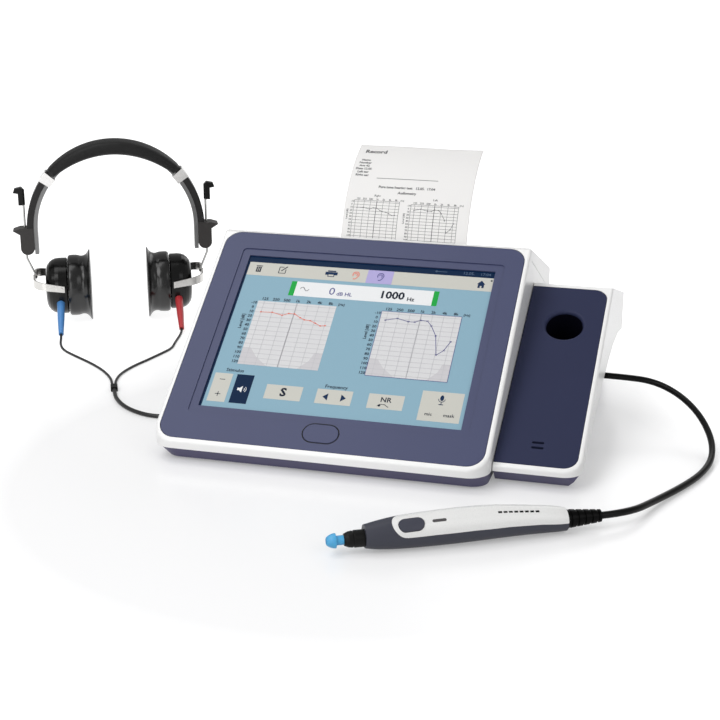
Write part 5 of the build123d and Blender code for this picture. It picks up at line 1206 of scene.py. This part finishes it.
# %% Ear cushions
CUSHION_OUTLINE = [
    (50.9, 14.0), (50.9, 27.9), (50.4, 29.9), (48.9, 30.8), (46.2, 31.0), (42.8, 30.9),
    (40.6, 30.6), (38.4, 29.9), (36.0, 29.9), (34.0, 30.6), (32.4, 31.9), (31.0, 33.6),
    (30.2, 35.0), (29.5, 35.8), (28.9, 36.0), (28.5, 35.6), (28.55, 34.0), (28.9, 29.5),
    (30.0, 26.0), (32.0, 22.5), (33.0, 19.0), (33.0, 14.0),
]
CUP_AXIS_Z = 36.0


def rounded(outline, steps=3):
    """Points on a smooth curve through an outline's inner points."""
    made = []
    for i in range(len(outline) - 1):
        before = outline[max(i - 1, 0)]
        start, end = outline[i], outline[i + 1]
        after = outline[min(i + 2, len(outline) - 1)]
        for k in range(steps):
            t = k / steps
            made.append(tuple(
                0.5 * (2 * b + (c - a) * t + (2 * a - 5 * b + 4 * c - d) * t * t
                       + (3 * b - a - 3 * c + d) * t ** 3)
                for a, b, c, d in zip(before, start, end, after)
            ))
    return made + [outline[-1]]


def lathe(name, outline, axis_z, side, sides=96):
    """Turns a closed outline of (x, radius) round the cup's axis, on one side of the headset."""
    points, faces = [], []
    for k in range(sides):
        turn = 2 * math.pi * k / sides
        for x, radius in outline:
            place = (side * x, radius * math.cos(turn), axis_z + radius * math.sin(turn))
            points.append(on_headset(*place))
    n = len(outline)
    for k in range(sides):
        for i in range(n):
            a, b = k * n + i, k * n + (i + 1) % n
            c, d = ((k + 1) % sides) * n + (i + 1) % n, ((k + 1) % sides) * n + i
            faces.append((a, b, c, d))
    return mesh_piece(name, points, faces)


for side, label in ((-1, "left"), (1, "right")):
    cushion = lathe(f"ear_pad_{label}", rounded(CUSHION_OUTLINE), CUP_AXIS_Z, side)
    dress(cushion, "cushion_rubber")
    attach(cushion, f"cup_{label}")
    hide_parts(f"ear_cushion_{label}")
    print("ear cushion", label, len(cushion.data.polygons), "faces")

# %% [markdown]
# ## Marks on the probe
#
# Eight short dark marks lie in pockets along the probe's white shell. They are the row tree's
# bars again, placed in the probe's own lengths: along its axis from the nose, across it and out
# in the direction that its buttons face. One matrix then turns the row to where the probe lies.

# %% Probe marks
def on_facing(x, height, radius, sunk=0.2):
    """A place just under the probe's surface where it faces outwards, in its rolled frame."""
    return (x, height * math.sin(PROBE_ROLL), height * math.cos(PROBE_ROLL) + radius - sunk)


PROBE_ROLL, PROBE_HEADING, MARKS = math.radians(33.0), math.radians(28.5), 8
PROBE_NOSE = mm(71.2, -266.3, -2.0)
first_mark, last_mark = on_facing(94.0, 12.37, 11.50), on_facing(121.3, 11.13, 10.09)
mark_step = [(b - a) / (MARKS - 1) for a, b in zip(first_mark, last_mark)]
marks = row("probe_marks", MARKS, first_mark, mark_step, (2.7, 1.5, 0.3), "matt_black")
turned = Matrix.Rotation(PROBE_HEADING, 4, "Z") @ Matrix.Rotation(PROBE_ROLL, 4, "X")
marks.data.transform(Matrix.Translation(PROBE_NOSE) @ turned)
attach(marks, "unit")
print("marks", len(marks.data.polygons) // 6)

# %% [markdown]
# ## The stems and their finger stops
#
# Each stem is a bright bent wire that carries a black moulded finger stop on its top. The CAD
# node holds both, so a copy of its mesh gets two finishes: a face belongs to the stop where it
# is above the stop's foot and further from the wire's line than the wire is thick.

# %% Stems
STOP_FOOT, WIRE_RADIUS = 0.1185, 0.0013
STEM_LINES = {"left": mm(-400.75, 171.76, 0), "right": mm(-235.45, 247.44, 0)}
for label, line in STEM_LINES.items():
    copy = nodes[f"stem_{label}"].data.copy()
    stem = bpy.data.objects.new(f"stem_and_stop_{label}", copy)
    bpy.context.scene.collection.objects.link(stem)
    copy.materials.clear()
    copy.materials.append(finishes["stem_steel"])
    copy.materials.append(finishes["stop_black"])
    for face in copy.polygons:
        corners = [copy.vertices[i].co - line for i in face.vertices]
        far = max(Vector((c.x, c.y)).length for c in corners)
        is_stop = min(c.z for c in corners) > STOP_FOOT and far > WIRE_RADIUS
        face.material_index = 1 if is_stop else 0
    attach(stem, f"fork_{label}")
    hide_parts(f"stem_{label}")
    print("stem", label, sum(f.material_index for f in copy.polygons), "faces of the stop")

# %% [markdown]
# ## Floor, backdrop and light
#
# The studio is white all round. To the camera the floor and the sky both look white, and the
# floor does in reflections too. Light Path tells those rays apart from the light that falls on
# the object. The floor's glow for those rays is painted light: it is weakest round the unit, so
# that its soft shadows stay, and grows further out, where it washes shadows out, the headset's
# among them. Five large lamps light the scene: from the upper left, the right, above, low in
# front, and faintly from behind.

# %% Floor
FLOOR_LEVEL, SHADOW_REACH, WHITE_REACH = -0.00205, 0.26, 0.44


def studio_white(name, centre, near, far):
    """A matt white whose glow for the camera is painted light: least near the centre, where the
    shadows fall, full further out, where it washes them out.
    """
    made = Finish(name, (0.72, 0.72, 0.725), 0.22, Specular_IOR_Level=0.35)
    path = made.node("LightPath", output="Is Camera Ray")
    glossy = Value(made, path.socket.node.outputs["Is Glossy Ray"])
    through = Value(made, path.socket.node.outputs["Is Transmission Ray"])
    seen = path.math("MAXIMUM", glossy).math("MAXIMUM", through)
    here = made.node("TexCoord", output="Object")
    away = made.node("VectorMath", {0: here, 1: centre}, output="Value", operation="DISTANCE")
    # Painted light: the glow rises from near to far between the two reaches, which hides shadows
    # beyond them.
    glow = away.between(SHADOW_REACH, WHITE_REACH) * (far - near) + near
    made.surface.inputs["Emission Color"].default_value = (1, 1, 1, 1)
    made.put(made.surface.inputs["Emission Strength"], seen * glow)
    return made.material


floor_corners = [(x, y, FLOOR_LEVEL) for x, y in ((-12, -6), (12, -6), (12, 16), (-12, 16))]
floor = mesh_piece("floor", floor_corners, [(0, 1, 2, 3)], flat=True)
under_the_object = (0.03, -0.13, 0.0)
floor.data.materials.append(studio_white("studio_floor", under_the_object, near=0.27, far=0.80))

# %% World
world = bpy.data.worlds.new("studio")
bpy.context.scene.world = world
world.use_nodes = True
sky = world.node_tree
SKY_LIGHT, SKY_SEEN = 0.42, 1.0
sky_light, sky_seen = sky.nodes["Background"], sky.nodes.new("ShaderNodeBackground")
for background, strength in ((sky_light, SKY_LIGHT), (sky_seen, SKY_SEEN)):
    background.inputs["Color"].default_value = (1, 1, 1, 1)
    background.inputs["Strength"].default_value = strength
path = sky.nodes.new("ShaderNodeLightPath")
either = sky.nodes.new("ShaderNodeMath")
either.operation = "MAXIMUM"
sky.links.new(path.outputs["Is Camera Ray"], either.inputs[0])
sky.links.new(path.outputs["Is Transmission Ray"], either.inputs[1])
choose = sky.nodes.new("ShaderNodeMixShader")
sky.links.new(either.outputs[0], choose.inputs["Fac"])
sky.links.new(sky_light.outputs[0], choose.inputs[1])
sky.links.new(sky_seen.outputs[0], choose.inputs[2])
sky.links.new(choose.outputs[0], sky.nodes["World Output"].inputs["Surface"])


# %% Lamps
def soft_lamp(name, place, target, size, power):
    """A large square lamp aimed at a point."""
    data = bpy.data.lights.new(name, "AREA")
    data.shape, data.size, data.energy = "SQUARE", size, power
    lamp = bpy.data.objects.new(name, data)
    lamp.location = place
    lamp.rotation_euler = (Vector(target) - Vector(place)).to_track_quat("-Z", "Y").to_euler()
    bpy.context.scene.collection.objects.link(lamp)


soft_lamp("key", (-0.9, -1.5, 1.9), (0, 0, 0.05), 1.3, 20.0)
soft_lamp("fill", (1.7, -1.1, 1.2), (0, 0, 0.05), 1.4, 8.0)
soft_lamp("top", (-0.75, 0.0, 1.9), (0, 0, 0), 1.1, 9.0)
soft_lamp("front", (-0.2, -2.0, 0.55), (-0.05, 0, 0.08), 1.0, 7.0)
soft_lamp("back", (0.2, 2.1, 1.1), (0, 0, 0.08), 1.2, 5.0)
